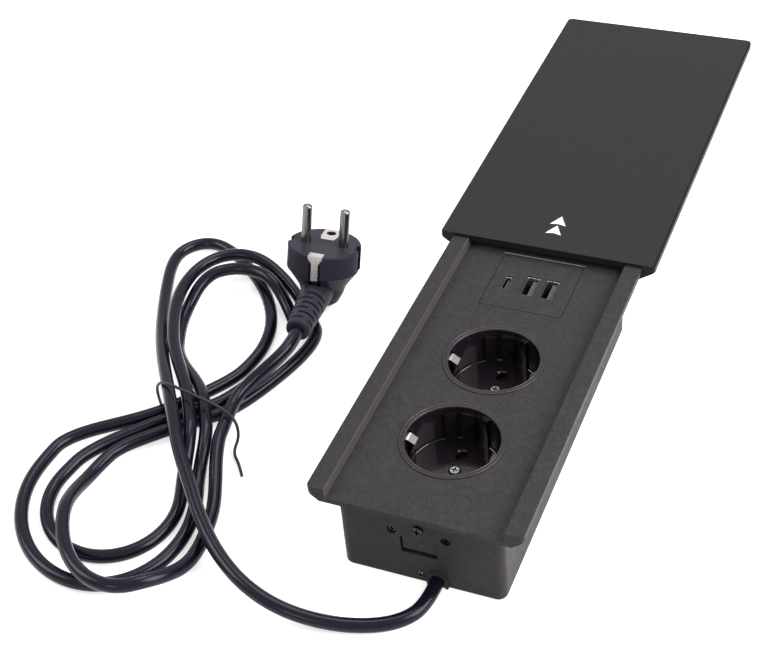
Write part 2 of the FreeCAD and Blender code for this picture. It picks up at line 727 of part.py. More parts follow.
def make_top_frame():
    r = EDGE_ROUND
    side_bottom = RAIL_TOP - BEVEL_DROP
    inside = FRAME_HALF - BEVEL_RUN
    lower = [(inside, HOUSING_HEIGHT), (FRAME_HALF, side_bottom)]
    outer = quarter(FRAME_HALF - r, RAIL_TOP - r, r, 0)
    step = quarter(RECESS_HALF + r, RAIL_TOP - r, r, 90) + [(RECESS_HALF, PANEL_TOP)]
    channel = along_y(mirrored(lower + outer + step), FRAME_FRONT, STOP_RAIL_FRONT)
    rear = along_y(mirrored(lower + outer), STOP_RAIL_FRONT, FRAME_REAR)
    plan = rounded_box(-FRAME_HALF, FRAME_HALF, FRAME_FRONT, FRAME_REAR, 0, RAIL_TOP + 1, FRAME_CORNER)
    frame = channel.fuse(rear).common(plan)
    posts = [rod(x, y, FRAME_BOSS_TOP, HOUSING_HEIGHT + 1, FRAME_POST_RADIUS) for x, y in frame_post_places()]
    back = FRONT_INSIDE + FIT
    inner = back + TONGUE_THICKNESS
    wide = box(TONGUE_LEFT, TONGUE_RIGHT, back, inner, TONGUE_WIDE_BOTTOM, HOUSING_HEIGHT + 1)
    left = WINDOW_LEFT + CATCH_SIDE_GAP
    right = WINDOW_RIGHT - FIT
    low = WINDOW_BOTTOM + CATCH_BOTTOM_GAP
    narrow = box(left, right, back, inner, low, TONGUE_WIDE_BOTTOM + 1)
    catch = box(left, right, FRONT_FACE + CATCH_RECESS, back + 1, low, WINDOW_TOP - FIT)
    frame = fused(frame, wide, narrow, catch, *posts)
    cuts = [rod(0, y, HOUSING_HEIGHT - 1, PANEL_TOP + 1, WELL_OUTER + FIT) for y in WELL_CENTRES.values()]
    half = USB_FACE_WIDTH / 2 + FIT
    long_half = USB_FACE_LENGTH / 2 + FIT
    cuts.append(rounded_box(-half, half, USB_CENTRE_Y - long_half, USB_CENTRE_Y + long_half,
                            HOUSING_HEIGHT - 1, PANEL_TOP + 1, USB_FACE_CORNER + FIT))
    for x, y in frame_post_places():
        cuts.append(rod(x, y, FRAME_BOSS_TOP - 1, frame_screw_seat() + FRAME_SCREW_LENGTH + 1,
                        FRAME_SCREW_SHANK / 2 + SNUG))
    for x, z in SIDE_SCREWS + (MIDDLE_SCREW,):
        cuts.append(rod_along_y(x, z, back - 1, inner + 1, WALL_SCREW_SHANK / 2 + SNUG))
    return frame.cut(cuts)


def make_sliding_cover():
    underside = RAIL_TOP + FIT
    top = underside + COVER_PLATE
    half = FRAME_HALF + COVER_OVERHANG
    side_top = top - COVER_SIDE_TOP
    side_bottom = side_top - COVER_SIDE_HEIGHT
    tip_x = FRAME_HALF - COVER_HOOK_REACH
    tip_z = side_bottom - COVER_HOOK_DROP
    slope = math.atan2(RAIL_TOP - BEVEL_DROP - HOUSING_HEIGHT, BEVEL_RUN)
    bevel_bottom = RAIL_TOP - BEVEL_DROP
    wall = FRAME_HALF + FIT
    wall_z = bevel_bottom - FIT / math.cos(slope) + FIT * math.tan(slope)
    hook_z = wall_z - (wall - tip_x) * math.tan(slope)
    bevel = COVER_SIDE_TOP
    right = [(0, top), (half - bevel, top), (half - bevel * 0.3, top - bevel * 0.3),
             (half, side_top), (half, side_bottom), (tip_x + COVER_HOOK_FLAT, tip_z), (tip_x, tip_z),
             (tip_x, hook_z), (wall, wall_z), (wall, underside), (0, underside)]
    rear = COVER_START + COVER_LENGTH
    section = right + [(-x, z) for x, z in reversed(right[1:-1])]
    cover = along_y(section, COVER_START, rear)
    middle = (COVER_START + rear) / 2
    front_plan = rounded_box(-half, half, COVER_START, middle, 0, top + 1, COVER_FRONT_CORNER)
    rear_plan = rounded_box(-half, half, COVER_START, rear, 0, top + 1, COVER_REAR_CORNER)
    cover = cover.common(fused(rear_plan, front_plan))
    lip_half = RECESS_HALF - FIT - SNUG
    inside = underside + SNUG
    lip = box(-lip_half, lip_half, COVER_START, COVER_START + COVER_LIP, underside - COVER_LIP_DROP, inside)
    stop_half = wall + SNUG
    stop = box(-stop_half, stop_half, rear - COVER_STOP, rear, underside - COVER_STOP_DROP, inside)
    cover = fused(cover, lip, stop)
    arrows = [arrow(COVER_START + start, top) for start in ARROW_STARTS]
    return cover.cut(arrows)


def arrow(y, top):
    """A direction arrow sunk in the cover."""
    half = ARROW_WIDTH / 2
    points = [(-half, y), (0, y + ARROW_NOTCH), (half, y), (0, y + ARROW_LENGTH)]
    return outline([(x, q, top - ARROW_DEPTH) for x, q in points]).extrude(V(0, 0, ARROW_DEPTH + 1))


# Socket wells and what is under them

def ring_part(y, angles, inner, outer, z0, z1):
    """The part of a ring between two angles."""
    ring = rod(0, y, z0, z1, outer).cut(rod(0, y, z0 - 1, z1 + 1, inner))
    corners = [(0, y, z0)]
    for a in angles:
        turn = math.radians(a)
        corners.append((2 * outer * math.cos(turn), y + 2 * outer * math.sin(turn), z0))
    return ring.common(outline(corners).extrude(V(0, 0, z1 - z0)))


def well_pads(y):
    """Two pads on each end of the wall, one plain and one with a sunk window, and the windows to cut."""
    inner = WELL_RADIUS - WELL_PAD_REACH
    outer = WELL_RADIUS + WELL_WALL / 2
    low = WELL_BOTTOM - WELL_FLOOR / 2
    sill = WELL_BOTTOM + WINDOW_SILL
    pads = []
    windows = []
    for turn in (0, 180):
        plain = [a + turn for a in WELL_PAD_ANGLES]
        pads.append(ring_part(y, plain, inner, outer, low, PANEL_TOP - WELL_PAD_DROP))
        framed = [a + turn for a in WINDOW_PAD_ANGLES]
        pads.append(ring_part(y, framed, inner, outer, low, PANEL_TOP - WINDOW_PAD_DROP))
        pane = [a + turn for a in WINDOW_ANGLES]
        windows.append(ring_part(y, pane, inner - 1, WELL_RADIUS, sill, PANEL_TOP - WINDOW_DROP))
    return pads, windows


def make_well(y):
    lip = WELL_RADIUS + WELL_LIP_WIDTH
    lip_top = PANEL_TOP + WELL_LIP_RISE
    r = EDGE_ROUND
    inner = [(WELL_RADIUS + r - r * math.cos(math.radians(a)), lip_top - r + r * math.sin(math.radians(a)))
             for a in (90, 60, 30, 0)]
    bend = [(WELL_RADIUS - WELL_FLOOR_ROUND + x, WELL_BOTTOM + WELL_FLOOR_ROUND + z)
            for x, z in quarter(0, 0, WELL_FLOOR_ROUND, 270)][::-1]
    profile = [(0, WELL_UNDERSIDE), (WELL_OUTER, WELL_UNDERSIDE), (WELL_OUTER, PANEL_TOP), (lip, PANEL_TOP)]
    profile += quarter(lip - r, lip_top - r, r, 0) + inner + bend + [(0, WELL_BOTTOM)]
    well = turned(profile, 0, y)
    ribs = []
    for side in (-1, 1):
        near_y = y + side * (WELL_RADIUS - RIB_REACH)
        far_y = y + side * (WELL_RADIUS + WELL_WALL / 2)
        ribs.append(box(-RIB_WIDTH / 2, RIB_WIDTH / 2, min(near_y, far_y), max(near_y, far_y),
                        WELL_BOTTOM - WELL_FLOOR / 2, PANEL_TOP - RIB_BELOW_LIP))
    pads, cuts = well_pads(y)
    well = fused(well, *ribs, *pads)
    cuts.append(rod(0, y, well_screw_seat(), WELL_BOTTOM + 1, WELL_SCREW_HEAD / 2 + FIT))
    cuts.append(rod(0, y, WELL_UNDERSIDE - 1, WELL_BOTTOM, WELL_SCREW_SHANK / 2 + SNUG))
    for side in (-1, 1):
        pin_y = y + side * PIN_REACH
        cuts.append(rod(0, pin_y, WELL_UNDERSIDE - 1, WELL_BOTTOM + 1, PIN_HOLE / 2))
        cuts.append(Part.makeCone(PIN_HOLE / 2, PIN_HOLE / 2 + PIN_COUNTERSINK, PIN_COUNTERSINK,
                                  V(0, pin_y, WELL_BOTTOM - PIN_COUNTERSINK), V(0, 0, 1)))
        wide = CLIP_WIDTH / 2 + CLIP_SLOT_SIDE
        x0, x1 = sorted((side * (WELL_RADIUS - 1), side * (WELL_OUTER + 1)))
        cuts.append(box(x0, x1, y - wide, y + wide, WELL_BOTTOM + WELL_FLOOR_ROUND,
                        PANEL_TOP - CLIP_TOP_DROP + 1.6))
    return well.cut(cuts)


def well_screw_seat():
    return WELL_BOTTOM - WELL_SCREW_SINK


def make_well_screws():
    """One screw in the middle of each well's floor. It goes through the shutter's slot into the carrier."""
    return group([screw(WELL_SCREW_HEAD, WELL_SCREW_SHANK, WELL_SCREW_LENGTH, (0, y, well_screw_seat()),
                        (0, 0, -1)) for y in WELL_CENTRES.values()])


def make_earth_clip(y):
    """A U of spring strip under the carrier, with a bent finger inside each side of the well."""
    t = CLIP_THICKNESS
    bottom = CARRIER_BOTTOM - t / 2
    riser = WELL_OUTER + FIT + t / 2
    top = PANEL_TOP - CLIP_TOP_DROP
    finger = [(riser, top - 0.6), (riser - 0.8, top), (WELL_RADIUS - 0.6, top - 0.5),
              (CLIP_MOUTH + t / 2, top - CLIP_NOSE_DROP), (WELL_RADIUS - 1.2, top - CLIP_FINGER_DROP)]
    right = [(riser - 1.0, bottom), (riser, bottom + 1.0)] + finger
    left = [(-x, z) for x, z in reversed(right)]
    return strip(left + right, t, y - CLIP_WIDTH / 2, y + CLIP_WIDTH / 2)


def make_shutter(y):
    x0, x1 = -SHUTTER_LEFT, SHUTTER_RIGHT
    plate = box(x0, x1, y - SHUTTER_HALF_LENGTH, y + SHUTTER_HALF_LENGTH, SHUTTER_BOTTOM, SHUTTER_TOP)
    cuts = []
    for side in (-1, 1):
        pin_y = y + side * PIN_REACH
        cuts.append(rod(-SHUTTER_TRAVEL, pin_y, SHUTTER_BOTTOM - 1, SHUTTER_TOP + 1, SHUTTER_HOLE / 2))
        ramp = along_y([(-SHUTTER_TRAVEL + SHUTTER_HOLE / 2 - 0.4, SHUTTER_TOP - SHUTTER_RAMP),
                        (SHUTTER_HOLE / 2, SHUTTER_TOP + SNUG),
                        (-SHUTTER_TRAVEL + SHUTTER_HOLE / 2 - 0.4, SHUTTER_TOP + SNUG)],
                       pin_y - PIN_DIAMETER / 2, pin_y + PIN_DIAMETER / 2)
        cuts.append(ramp)
    room = WELL_SCREW_SHANK / 2 + FIT
    cuts.append(box(-SHUTTER_TRAVEL - room, room, y - room, y + room, SHUTTER_BOTTOM - 1, SHUTTER_TOP + 1))
    return plate.cut(cuts)


def spring_ends():
    """Where a shutter's spring begins and ends along X."""
    return SHUTTER_RIGHT + FIT, SHUTTER_RIGHT + FIT + SPRING_ROOM


def make_spring(y):
    start, end = spring_ends()
    radius = (SPRING_DIAMETER - SPRING_WIRE) / 2
    z = (SHUTTER_TOP + SHUTTER_BOTTOM) / 2
    first = start + SPRING_WIRE
    pitch = (end - start - 2 * SPRING_WIRE) / SPRING_TURNS

    def node(quarters):
        a = math.pi / 2 * quarters
        p = (first + pitch * quarters / 4, y + radius * math.cos(a), z + radius * math.sin(a))
        return p, unit((pitch / 4, -radius * math.sin(a) * math.pi / 2, radius * math.cos(a) * math.pi / 2))

    arcs = []
    for q in range(4 * SPRING_TURNS):
        arcs += biarc(*node(q), *node(q + 1))
    p0, t0 = node(0)
    p1, t1 = node(4 * SPRING_TURNS)
    edges = [Part.makeLine(V(*plus(p0, t0, -SPRING_WIRE)), V(*p0))]
    edges += [arc_edge(*a[:3]) for a in arcs]
    edges.append(Part.makeLine(V(*p1), V(*plus(p1, t1, SPRING_WIRE))))
    return tube(edges, SPRING_WIRE, "shutter spring")


def contact_places(side):
    """The middles of one pole's two contacts."""
    return [y + side * PIN_REACH for y in WELL_CENTRES.values()]


def bar_ends():
    """Both bars reach a little past the carrier, where their wires meet them."""
    return CARRIER_FRONT - BAR_REACH, CARRIER_REAR + BAR_REACH


def make_bus_bar(side):
    """One pole: a brass bar with a split sleeve for a pin under each well."""
    x = side * BAR_OFFSET
    y0, y1 = bar_ends()
    top = BAR_BOTTOM + BAR_HEIGHT
    bar = box(x - BAR_THICKNESS / 2, x + BAR_THICKNESS / 2, y0, y1, BAR_BOTTOM, top)
    pieces = []
    cuts = []
    outer = CONTACT_BORE / 2 + CONTACT_WALL
    low = CARRIER_BOTTOM + CONTACT_FOOT
    high = CARRIER_TOP - CONTACT_FOOT
    for y in contact_places(side):
        pieces.append(rod(0, y, low, high, outer))
        near_x, far_x = sorted((side * (outer - CONTACT_WALL / 2), x))
        pieces.append(box(near_x, far_x, y - BAR_THICKNESS / 2, y + BAR_THICKNESS / 2, BAR_BOTTOM, top))
        cuts.append(rod(0, y, low - 1, high + 1, CONTACT_BORE / 2))
        x0, x1 = sorted((0, -side * (outer + 1)))
        cuts.append(box(x0, x1, y - CONTACT_SLIT / 2, y + CONTACT_SLIT / 2, low - 1, high + 1))
    return fused(bar, *pieces).cut(cuts)


def make_contact_carrier():
    half = CARRIER_WIDTH / 2
    block = box(-half, half, CARRIER_FRONT, CARRIER_REAR, CARRIER_BOTTOM, CARRIER_TOP)
    high = SHUTTER_TOP
    lugs = []
    for y in WELL_CENTRES.values():
        for side in (-1, 1):
            start = y + side * (SHUTTER_HALF_LENGTH + FIT)
            y0, y1 = sorted((start, start + side * GUIDE_WIDTH))
            lugs.append(box(-half + 4, half - 4, y0, y1, CARRIER_TOP - 1, high))
        lug = STOP_LENGTH / 2
        left = -SHUTTER_LEFT - FIT
        lugs.append(box(left - STOP_WIDTH, left, y - lug, y + lug, CARRIER_TOP - 1, high))
        right = spring_ends()[1]
        lugs.append(box(right, right + STOP_WIDTH, y - lug, y + lug, CARRIER_TOP - 1, high))
    block = fused(block, *lugs)
    cuts = []
    pocket = CONTACT_BORE / 2 + CONTACT_WALL + FIT
    groove = BAR_THICKNESS / 2 + FIT
    over = CARRIER_TOP + 1
    for side in (-1, 1):
        x = side * BAR_OFFSET
        y0, y1 = bar_ends()
        cuts.append(box(x - groove, x + groove, y0, y1, BAR_BOTTOM, over))
        for y in contact_places(side):
            cuts.append(rod(0, y, CARRIER_BOTTOM - 1, over, pocket))
            x0, x1 = sorted((0, x))
            cuts.append(box(x0, x1, y - groove, y + groove, BAR_BOTTOM, over))
    tip = well_screw_seat() - WELL_SCREW_LENGTH - FIT
    for y in WELL_CENTRES.values():
        cuts.append(rod(0, y, tip, over, WELL_SCREW_SHANK / 2 + SNUG))
    for x, y in carrier_screw_places():
        cuts.append(rod(x, y, CARRIER_BOTTOM - 1, over, CARRIER_SCREW_SHANK / 2 + SNUG))
        cuts.append(rod(x, y, carrier_screw_seat(), over + SHUTTER_THICKNESS, CARRIER_SCREW_HEAD / 2 + FIT))
    return block.cut(cuts)


def carrier_screw_seat():
    return CARRIER_TOP - CARRIER_SCREW_SINK


def make_earth_bar():
    half = EARTH_BAR_WIDTH / 2
    top = CARRIER_BOTTOM - CLIP_THICKNESS
    y1 = WELL_CENTRES["rear"] + CLIP_WIDTH / 2
    return box(EARTH_BAR_X - half, EARTH_BAR_X + half, earth_bar_front(), y1, top - CLIP_THICKNESS, top)


def earth_bar_front():
    return CARRIER_FRONT


# Charging insert

def make_usb_face():
    half = USB_FACE_WIDTH / 2
    long_half = USB_FACE_LENGTH / 2
    under = HOUSING_HEIGHT - SNUG
    plate = rounded_box(-half, half, USB_CENTRE_Y - long_half, USB_CENTRE_Y + long_half,
                        under, PANEL_TOP, USB_FACE_CORNER)
    ledge = rounded_box(-half - USB_LEDGE, half + USB_LEDGE, USB_CENTRE_Y - long_half - USB_LEDGE,
                        USB_CENTRE_Y + long_half + USB_LEDGE, under - USB_LEDGE_THICKNESS, under,
                        USB_FACE_CORNER)
    posts = [rod(x, y, BOARD_TOP, under, BOARD_POST_RADIUS) for x, y in board_post_places()]
    face = fused(plate, ledge, *posts)
    low = under - USB_LEDGE_THICKNESS - 1
    high = PANEL_TOP + 1
    gap = USB_SLOT_GAP
    cuts = [box(x - USB_A_WIDTH / 2 - gap, x + USB_A_WIDTH / 2 + gap, USB_A_Y - USB_A_LENGTH / 2 - gap,
                USB_A_Y + USB_A_LENGTH / 2 + gap, low, high) for x in USB_A_X]
    cuts.append(rounded_box(USB_C_X - USB_C_WIDTH / 2 - gap, USB_C_X + USB_C_WIDTH / 2 + gap,
                            USB_C_Y - USB_C_LENGTH / 2 - gap, USB_C_Y + USB_C_LENGTH / 2 + gap, low, high,
                            USB_C_WIDTH / 2 + gap - 0.05))
    for x, y in board_post_places():
        cuts.append(rod(x, y, BOARD_TOP - 1, BOARD_TOP + BOARD_SCREW_LENGTH, BOARD_SCREW_SHANK / 2 + SNUG))
    return face.cut(cuts)


def board_post_places():
    return [(x, USB_CENTRE_Y + y) for x in (-BOARD_POST_X, BOARD_POST_X)
            for y in (-BOARD_POST_Y, BOARD_POST_Y)]


def make_usb_a_shells():
    top = PANEL_TOP - USB_SHELL_SINK
    t = USB_SHELL_WALL
    shells = []
    for x in USB_A_X:
        x0, x1 = x - USB_A_WIDTH / 2, x + USB_A_WIDTH / 2
        y0, y1 = USB_A_Y - USB_A_LENGTH / 2, USB_A_Y + USB_A_LENGTH / 2
        outer = box(x0, x1, y0, y1, BOARD_TOP, top)
        shells.append(outer.cut(box(x0 + t, x1 - t, y0 + t, y1 - t, BOARD_TOP - 1, top + 1)))
    return group(shells)


def make_usb_c_shell():
    top = PANEL_TOP - USB_SHELL_SINK
    t = USB_SHELL_WALL
    x0, x1 = USB_C_X - USB_C_WIDTH / 2, USB_C_X + USB_C_WIDTH / 2
    y0, y1 = USB_C_Y - USB_C_LENGTH / 2, USB_C_Y + USB_C_LENGTH / 2
    round_end = USB_C_WIDTH / 2 - 0.05
    outer = rounded_box(x0, x1, y0, y1, BOARD_TOP, top, round_end)
    return outer.cut(rounded_box(x0 + t, x1 - t, y0 + t, y1 - t, BOARD_TOP - 1, top + 1, round_end - t))


def make_usb_tongues():
    """The moulded block and contact tongue in each port."""
    high = PANEL_TOP - USB_SHELL_SINK - USB_TONGUE_SINK
    room = USB_SHELL_WALL + SNUG
    block_top = BOARD_TOP + USB_BLOCK_HEIGHT
    solids = []
    for x in USB_A_X:
        half = USB_A_WIDTH / 2 - room
        long_half = USB_A_LENGTH / 2 - room
        block = box(x - half, x + half, USB_A_Y - long_half, USB_A_Y + long_half, BOARD_TOP, block_top)
        wide, thick = USB_A_TONGUE
        middle = x + USB_TONGUE_SHIFT
        tongue = box(middle - thick / 2, middle + thick / 2, USB_A_Y - wide / 2, USB_A_Y + wide / 2,
                     block_top - 1, high)
        solids.append(fused(block, tongue))
    half = USB_C_WIDTH / 2 - room
    long_half = USB_C_LENGTH / 2 - room
    block = rounded_box(USB_C_X - half, USB_C_X + half, USB_C_Y - long_half, USB_C_Y + long_half,
                        BOARD_TOP, block_top, half - 0.05)
    wide, thick = USB_C_TONGUE
    tongue = box(USB_C_X - thick / 2, USB_C_X + thick / 2, USB_C_Y - wide / 2, USB_C_Y + wide / 2,
                 block_top - 1, high)
    solids.append(fused(block, tongue))
    return group(solids)


def make_usb_board():
    half = BOARD_WIDTH / 2
    long_half = BOARD_LENGTH / 2
    board = box(-half, half, USB_CENTRE_Y - long_half, USB_CENTRE_Y + long_half, BOARD_BOTTOM, BOARD_TOP)
    return board.cut([rod(x, y, BOARD_BOTTOM - 1, BOARD_TOP + 1, BOARD_SCREW_SHANK / 2 + SNUG)
                      for x, y in board_post_places()])


def make_transformer():
    """A wound bobbin between two halves of a core, hanging under the board."""
    wide, deep, tall = TRANSFORMER_SIZE
    x, y = TRANSFORMER_AT
    low = BOARD_BOTTOM - tall
    middle = low + tall / 2
    core = box(x - wide / 2, x + wide / 2, y - deep / 4, y + deep / 4, low, BOARD_BOTTOM - 1.5)
    winding = rod_along_y(x, middle - 0.7, y - deep / 2, y + deep / 2, tall / 2 - 1.2)
    foot = box(x - wide / 2 + 1, x + wide / 2 - 1, y - deep / 2, y + deep / 2,
               BOARD_BOTTOM - 2.0, BOARD_BOTTOM)
    return fused(core, winding, foot)


def make_capacitors():
    low = BOARD_BOTTOM - CAPACITOR_HEIGHT
    return group([rod(x, y, low, BOARD_BOTTOM, CAPACITOR_DIAMETER / 2) for x, y in CAPACITORS_AT])


def make_chip():
    wide, deep, tall = CHIP_SIZE
    x, y = CHIP_AT
    return box(x - wide / 2, x + wide / 2, y - deep / 2, y + deep / 2, BOARD_BOTTOM - tall, BOARD_BOTTOM)


# Screws

def make_frame_screws():
    return group([screw(FRAME_SCREW_HEAD, FRAME_SCREW_SHANK, FRAME_SCREW_LENGTH, (x, y, frame_screw_seat()),
                        (0, 0, 1)) for x, y in frame_post_places()])


def make_carrier_screws():
    seat = carrier_screw_seat()
    length = seat - HOUSING_FLOOR - CARRIER_SCREW_TIP_GAP
    return group([screw(CARRIER_SCREW_HEAD, CARRIER_SCREW_SHANK, length, (x, y, seat), (0, 0, -1))
                  for x, y in carrier_screw_places()])


def make_board_screws():
    return group([screw(BOARD_SCREW_HEAD, BOARD_SCREW_SHANK, BOARD_SCREW_LENGTH, (x, y, BOARD_BOTTOM),
                        (0, 0, 1)) for x, y in board_post_places()])


def make_clamp_screws():
    return group([screw(BOARD_SCREW_HEAD, OUTLET_SCREW_SHANK, CLAMP_SCREW_LENGTH,
                        (x, clamp_y(), clamp_bottom() + CLAMP_THICKNESS), (0, 0, -1))
                  for x in clamp_screw_places()])


def make_end_wall_screws():
    """Two screws sunk in their holes and one whose head lies on the wall."""
    inside = FRONT_INSIDE + FIT
    short = WALL_SCREW_LENGTH - HOUSING_WALL
    solids = [screw(SIDE_SCREW_HEAD, WALL_SCREW_SHANK, short, (x, inside, z), (0, 1, 0))
              for x, z in SIDE_SCREWS]
    x, z = MIDDLE_SCREW
    at = (x, FRONT_FACE, z)
    solids.append(screw(MIDDLE_SCREW_HEAD, WALL_SCREW_SHANK, WALL_SCREW_LENGTH, at, (0, 1, 0)))
    return group(solids)


def make_outlet_screw():
    x, z = OUTLET_SCREW
    at = (x, outlet_screw_seat(), z)
    return screw(OUTLET_SCREW_HEAD, OUTLET_SCREW_SHANK, OUTLET_SCREW_LENGTH, at, (0, 1, 0))


# Cord entry

def make_cord_gland():
    """A rubber bush in the outlet, with a plate inside the wall and the stripped cord's end."""
    radius = cord_notch() - SNUG
    inside = FRONT_INSIDE + FIT
    end = FRONT_FACE + OUTLET_NOTCH_DEPTH - SNUG
    bush = rod_along_y(OUTLET_X, CORD_RADIUS, GLAND_FACE, end, radius)
    foot = box(OUTLET_X - radius, OUTLET_X + radius, GLAND_FACE, end, 0, CORD_RADIUS)
    plate = box(GLAND_PLATE_LEFT, GLAND_PLATE_RIGHT, inside, inside + GLAND_PLATE,
                HOUSING_FLOOR + FIT, GLAND_PLATE_TOP)
    stub = rod_along_y(OUTLET_X, GLAND_STUB_RISE, inside, STUB_END, GLAND_STUB_RADIUS)
    above_base = box(GLAND_PLATE_LEFT - 1, GLAND_PLATE_RIGHT + 1, GLAND_FACE - 1, STUB_END + 1,
                     0, HOUSING_HEIGHT)
    gland = fused(bush, foot, plate, stub).common(above_base)
    x, z = OUTLET_SCREW
    return gland.cut(rod_along_y(x, z, inside - 1, inside + GLAND_PLATE + 1, OUTLET_SCREW_SHANK / 2 + SNUG))


def make_cord_clamp():
    low = clamp_bottom()
    y0 = clamp_y() - CLAMP_DEPTH / 2
    y1 = clamp_y() + CLAMP_DEPTH / 2
    left, right = clamp_screw_places()
    bar = box(left - CLAMP_BOSS_RADIUS, right + CLAMP_BOSS_RADIUS, y0, y1, low, low + CLAMP_THICKNESS)
    return bar.cut([rod(x, clamp_y(), low - 1, low + CLAMP_THICKNESS + 1, OUTLET_SCREW_SHANK / 2 + SNUG)
                    for x in (left, right)])


def wire_starts():
    """Where the three wires leave the cord's stripped end."""
    aside, up, down = 1.15, 0.75, 1.2
    return {"live": (OUTLET_X + aside, GLAND_STUB_RISE + up),
            "neutral": (OUTLET_X - aside, GLAND_STUB_RISE + up),
            "earth": (OUTLET_X, GLAND_STUB_RISE - down)}


def make_live_wire():
    x, z = wire_starts()["live"]
    bar = bar_ends()[0]
    middle = BAR_BOTTOM + BAR_HEIGHT / 2
    points = [(x, STUB_END, z), (x, STUB_END + 4.6, z), (BAR_OFFSET, bar - 4.8, middle),
              (BAR_OFFSET, bar, middle)]
    return tube(route_edges(points, "live wire"), WIRE_DIAMETER, "live wire")


def make_neutral_wire():
    x, z = wire_starts()["neutral"]
    bar = bar_ends()[0]
    middle = BAR_BOTTOM + BAR_HEIGHT / 2
    points = [(x, STUB_END, z), (x, STUB_END + 4.4, z), (0.6, STUB_END + 7.4, z + 3.0),
              (-4.8, bar - 5.6, middle - 2.2), (-BAR_OFFSET, bar - 4.0, middle), (-BAR_OFFSET, bar, middle)]
    return tube(route_edges(points, "neutral wire"), WIRE_DIAMETER, "neutral wire")


def make_earth_wire():
    x, z = wire_starts()["earth"]
    end = earth_bar_front()
    middle = CARRIER_BOTTOM - CLIP_THICKNESS * 1.5
    points = [(x, STUB_END, z), (x, STUB_END + 5.0, z), (EARTH_BAR_X, end - 4.8, middle),
              (EARTH_BAR_X, end, middle)]
    return tube(route_edges(points, "earth wire"), WIRE_DIAMETER, "earth wire")


def make_usb_wires():
    """Two wires from the bars' rear ends up to the charging board."""
    wires = []
    middle = BAR_BOTTOM + BAR_HEIGHT / 2
    for side in (-1, 1):
        x = side * BAR_OFFSET
        start = bar_ends()[1]
        y = USB_CENTRE_Y - BOARD_LENGTH / 2 + 2.6
        run = (y - start) / 2
        points = [(x, start, middle), (x, start + run, middle), (x, y - 2.4, middle + 2.6),
                  (x, y, BOARD_BOTTOM - 3.4), (x, y, BOARD_BOTTOM)]
        wires.append(tube(route_edges(points, "usb wire"), WIRE_DIAMETER, "usb wire"))
    return group(wires)


# Cord outside the housing. The points are the middle line of the cord.
LEAD_POINTS = (
    (6.5, GLAND_FACE, CORD_RADIUS), (6.5, -104.0, CORD_RADIUS), (0.4, -114.0, CORD_RADIUS),
    (-11.0, -121.0, 3.4), (-27.0, -125.8, 4.6), (-46.5, -127.2, 7.2), (-65.5, -122.2, 9.6),
    (-83.0, -111.2, 11.4), (-98.0, -96.8, 12.8), (-111.0, -80.8, 14.4), (-124.2, -65.4, 15.8),
    (-136.0, -47.8, 16.4), (-148.5, -29.5, 15.0), (-163.0, -9.0, 11.4), (-175.8, 11.5, 6.8),
    (-186.0, 31.5, 3.8), (-194.2, 50.5, CORD_RADIUS), (-200.0, 66.5, CORD_RADIUS),
    (-201.2, 78.0, 3.2), (-196.5, 87.0, CORD_RADIUS), (-187.5, 91.0, 3.2),
    (-177.0, 88.5, CORD_RADIUS), (-165.0, 81.0, 3.2), (-151.5, 70.0, CORD_RADIUS),
    (-138.0, 55.5, 3.2), (-128.5, 38.5, CORD_RADIUS), (-125.0, 22.0, 3.2),
    (-126.2, 8.5, CORD_RADIUS), (-129.4, -3.2, CORD_RADIUS),
)
# How far the cord runs straight before the hank, after it, and before the strain relief.
LEAD_END_RUN = 10.0
TAIL_END_RUN = 7.2


def make_cord_lead(hank_start):
    start, way = hank_start
    points = list(LEAD_POINTS) + [plus(start, way, -LEAD_END_RUN), start]
    return tube(route_edges(points, "cord lead"), CORD_DIAMETER, "cord lead")


def make_cord_hank(edges):
    print("hank least gap to itself %.3f" % least_gap(edges, CORD_DIAMETER))
    return tube(edges, CORD_DIAMETER, "cord hank")


TAIL_POINTS = (
    (-116.8, -15.1, 11.6), (-105.6, 4.5, 18.2),
)


def make_cord_tail(hank_end):
    start, way = hank_end
    end = relief_point(1.0)
    into_relief = unit(minus(relief_point(0.0), end))
    points = [start, plus(start, way, TAIL_END_RUN)] + list(TAIL_POINTS)
    points += [plus(end, into_relief, -TAIL_END_RUN), end]
    return tube(route_edges(points, "cord tail"), CORD_DIAMETER, "cord tail")


TIE_POINTS = (
    (-156.5, -27.0, 0.9), (-156.8, -27.6, 9.0), (-153.6, -29.6, 17.0), (-147.0, -31.8, 20.8),
    (-138.5, -33.2, 19.8), (-129.5, -34.0, 18.2), (-119.5, -35.2, 16.6), (-110.6, -37.2, 13.6),
    (-107.4, -40.6, 6.6), (-108.6, -46.8, 1.4), (-103.0, -52.0, 0.9), (-98.5, -58.5, 0.9),
)


def make_cord_tie():
    return tube(route_edges(TIE_POINTS, "cord tie"), TIE_DIAMETER, "cord tie")


# Plug

def plug_frame():
    """Where the plug stands: its face's middle and the way it leans and turns."""
    a = math.radians(PLUG_LEAN_TOWARD)
    lean = FreeCAD.Rotation(V(-math.sin(a), math.cos(a), 0), PLUG_LEAN)
    spin = FreeCAD.Rotation(V(0, 0, 1), PLUG_SPIN)
    return FreeCAD.Placement(V(*PLUG_FACE_AT), lean.multiply(spin))


def stand(shape):
    """A piece of the plug, drawn face up at the origin, put where the plug stands."""
    placed = shape.copy()
    placed.Placement = plug_frame().multiply(placed.Placement)
    return placed


def relief_point(share):
    """A point on the strain relief's middle line, in the part's frame."""
    x, y, z = RELIEF_START
    p = plug_frame().multVec(V(x, y - RELIEF_LENGTH * share, z - RELIEF_DROP * share))
    return (p.x, p.y, p.z)


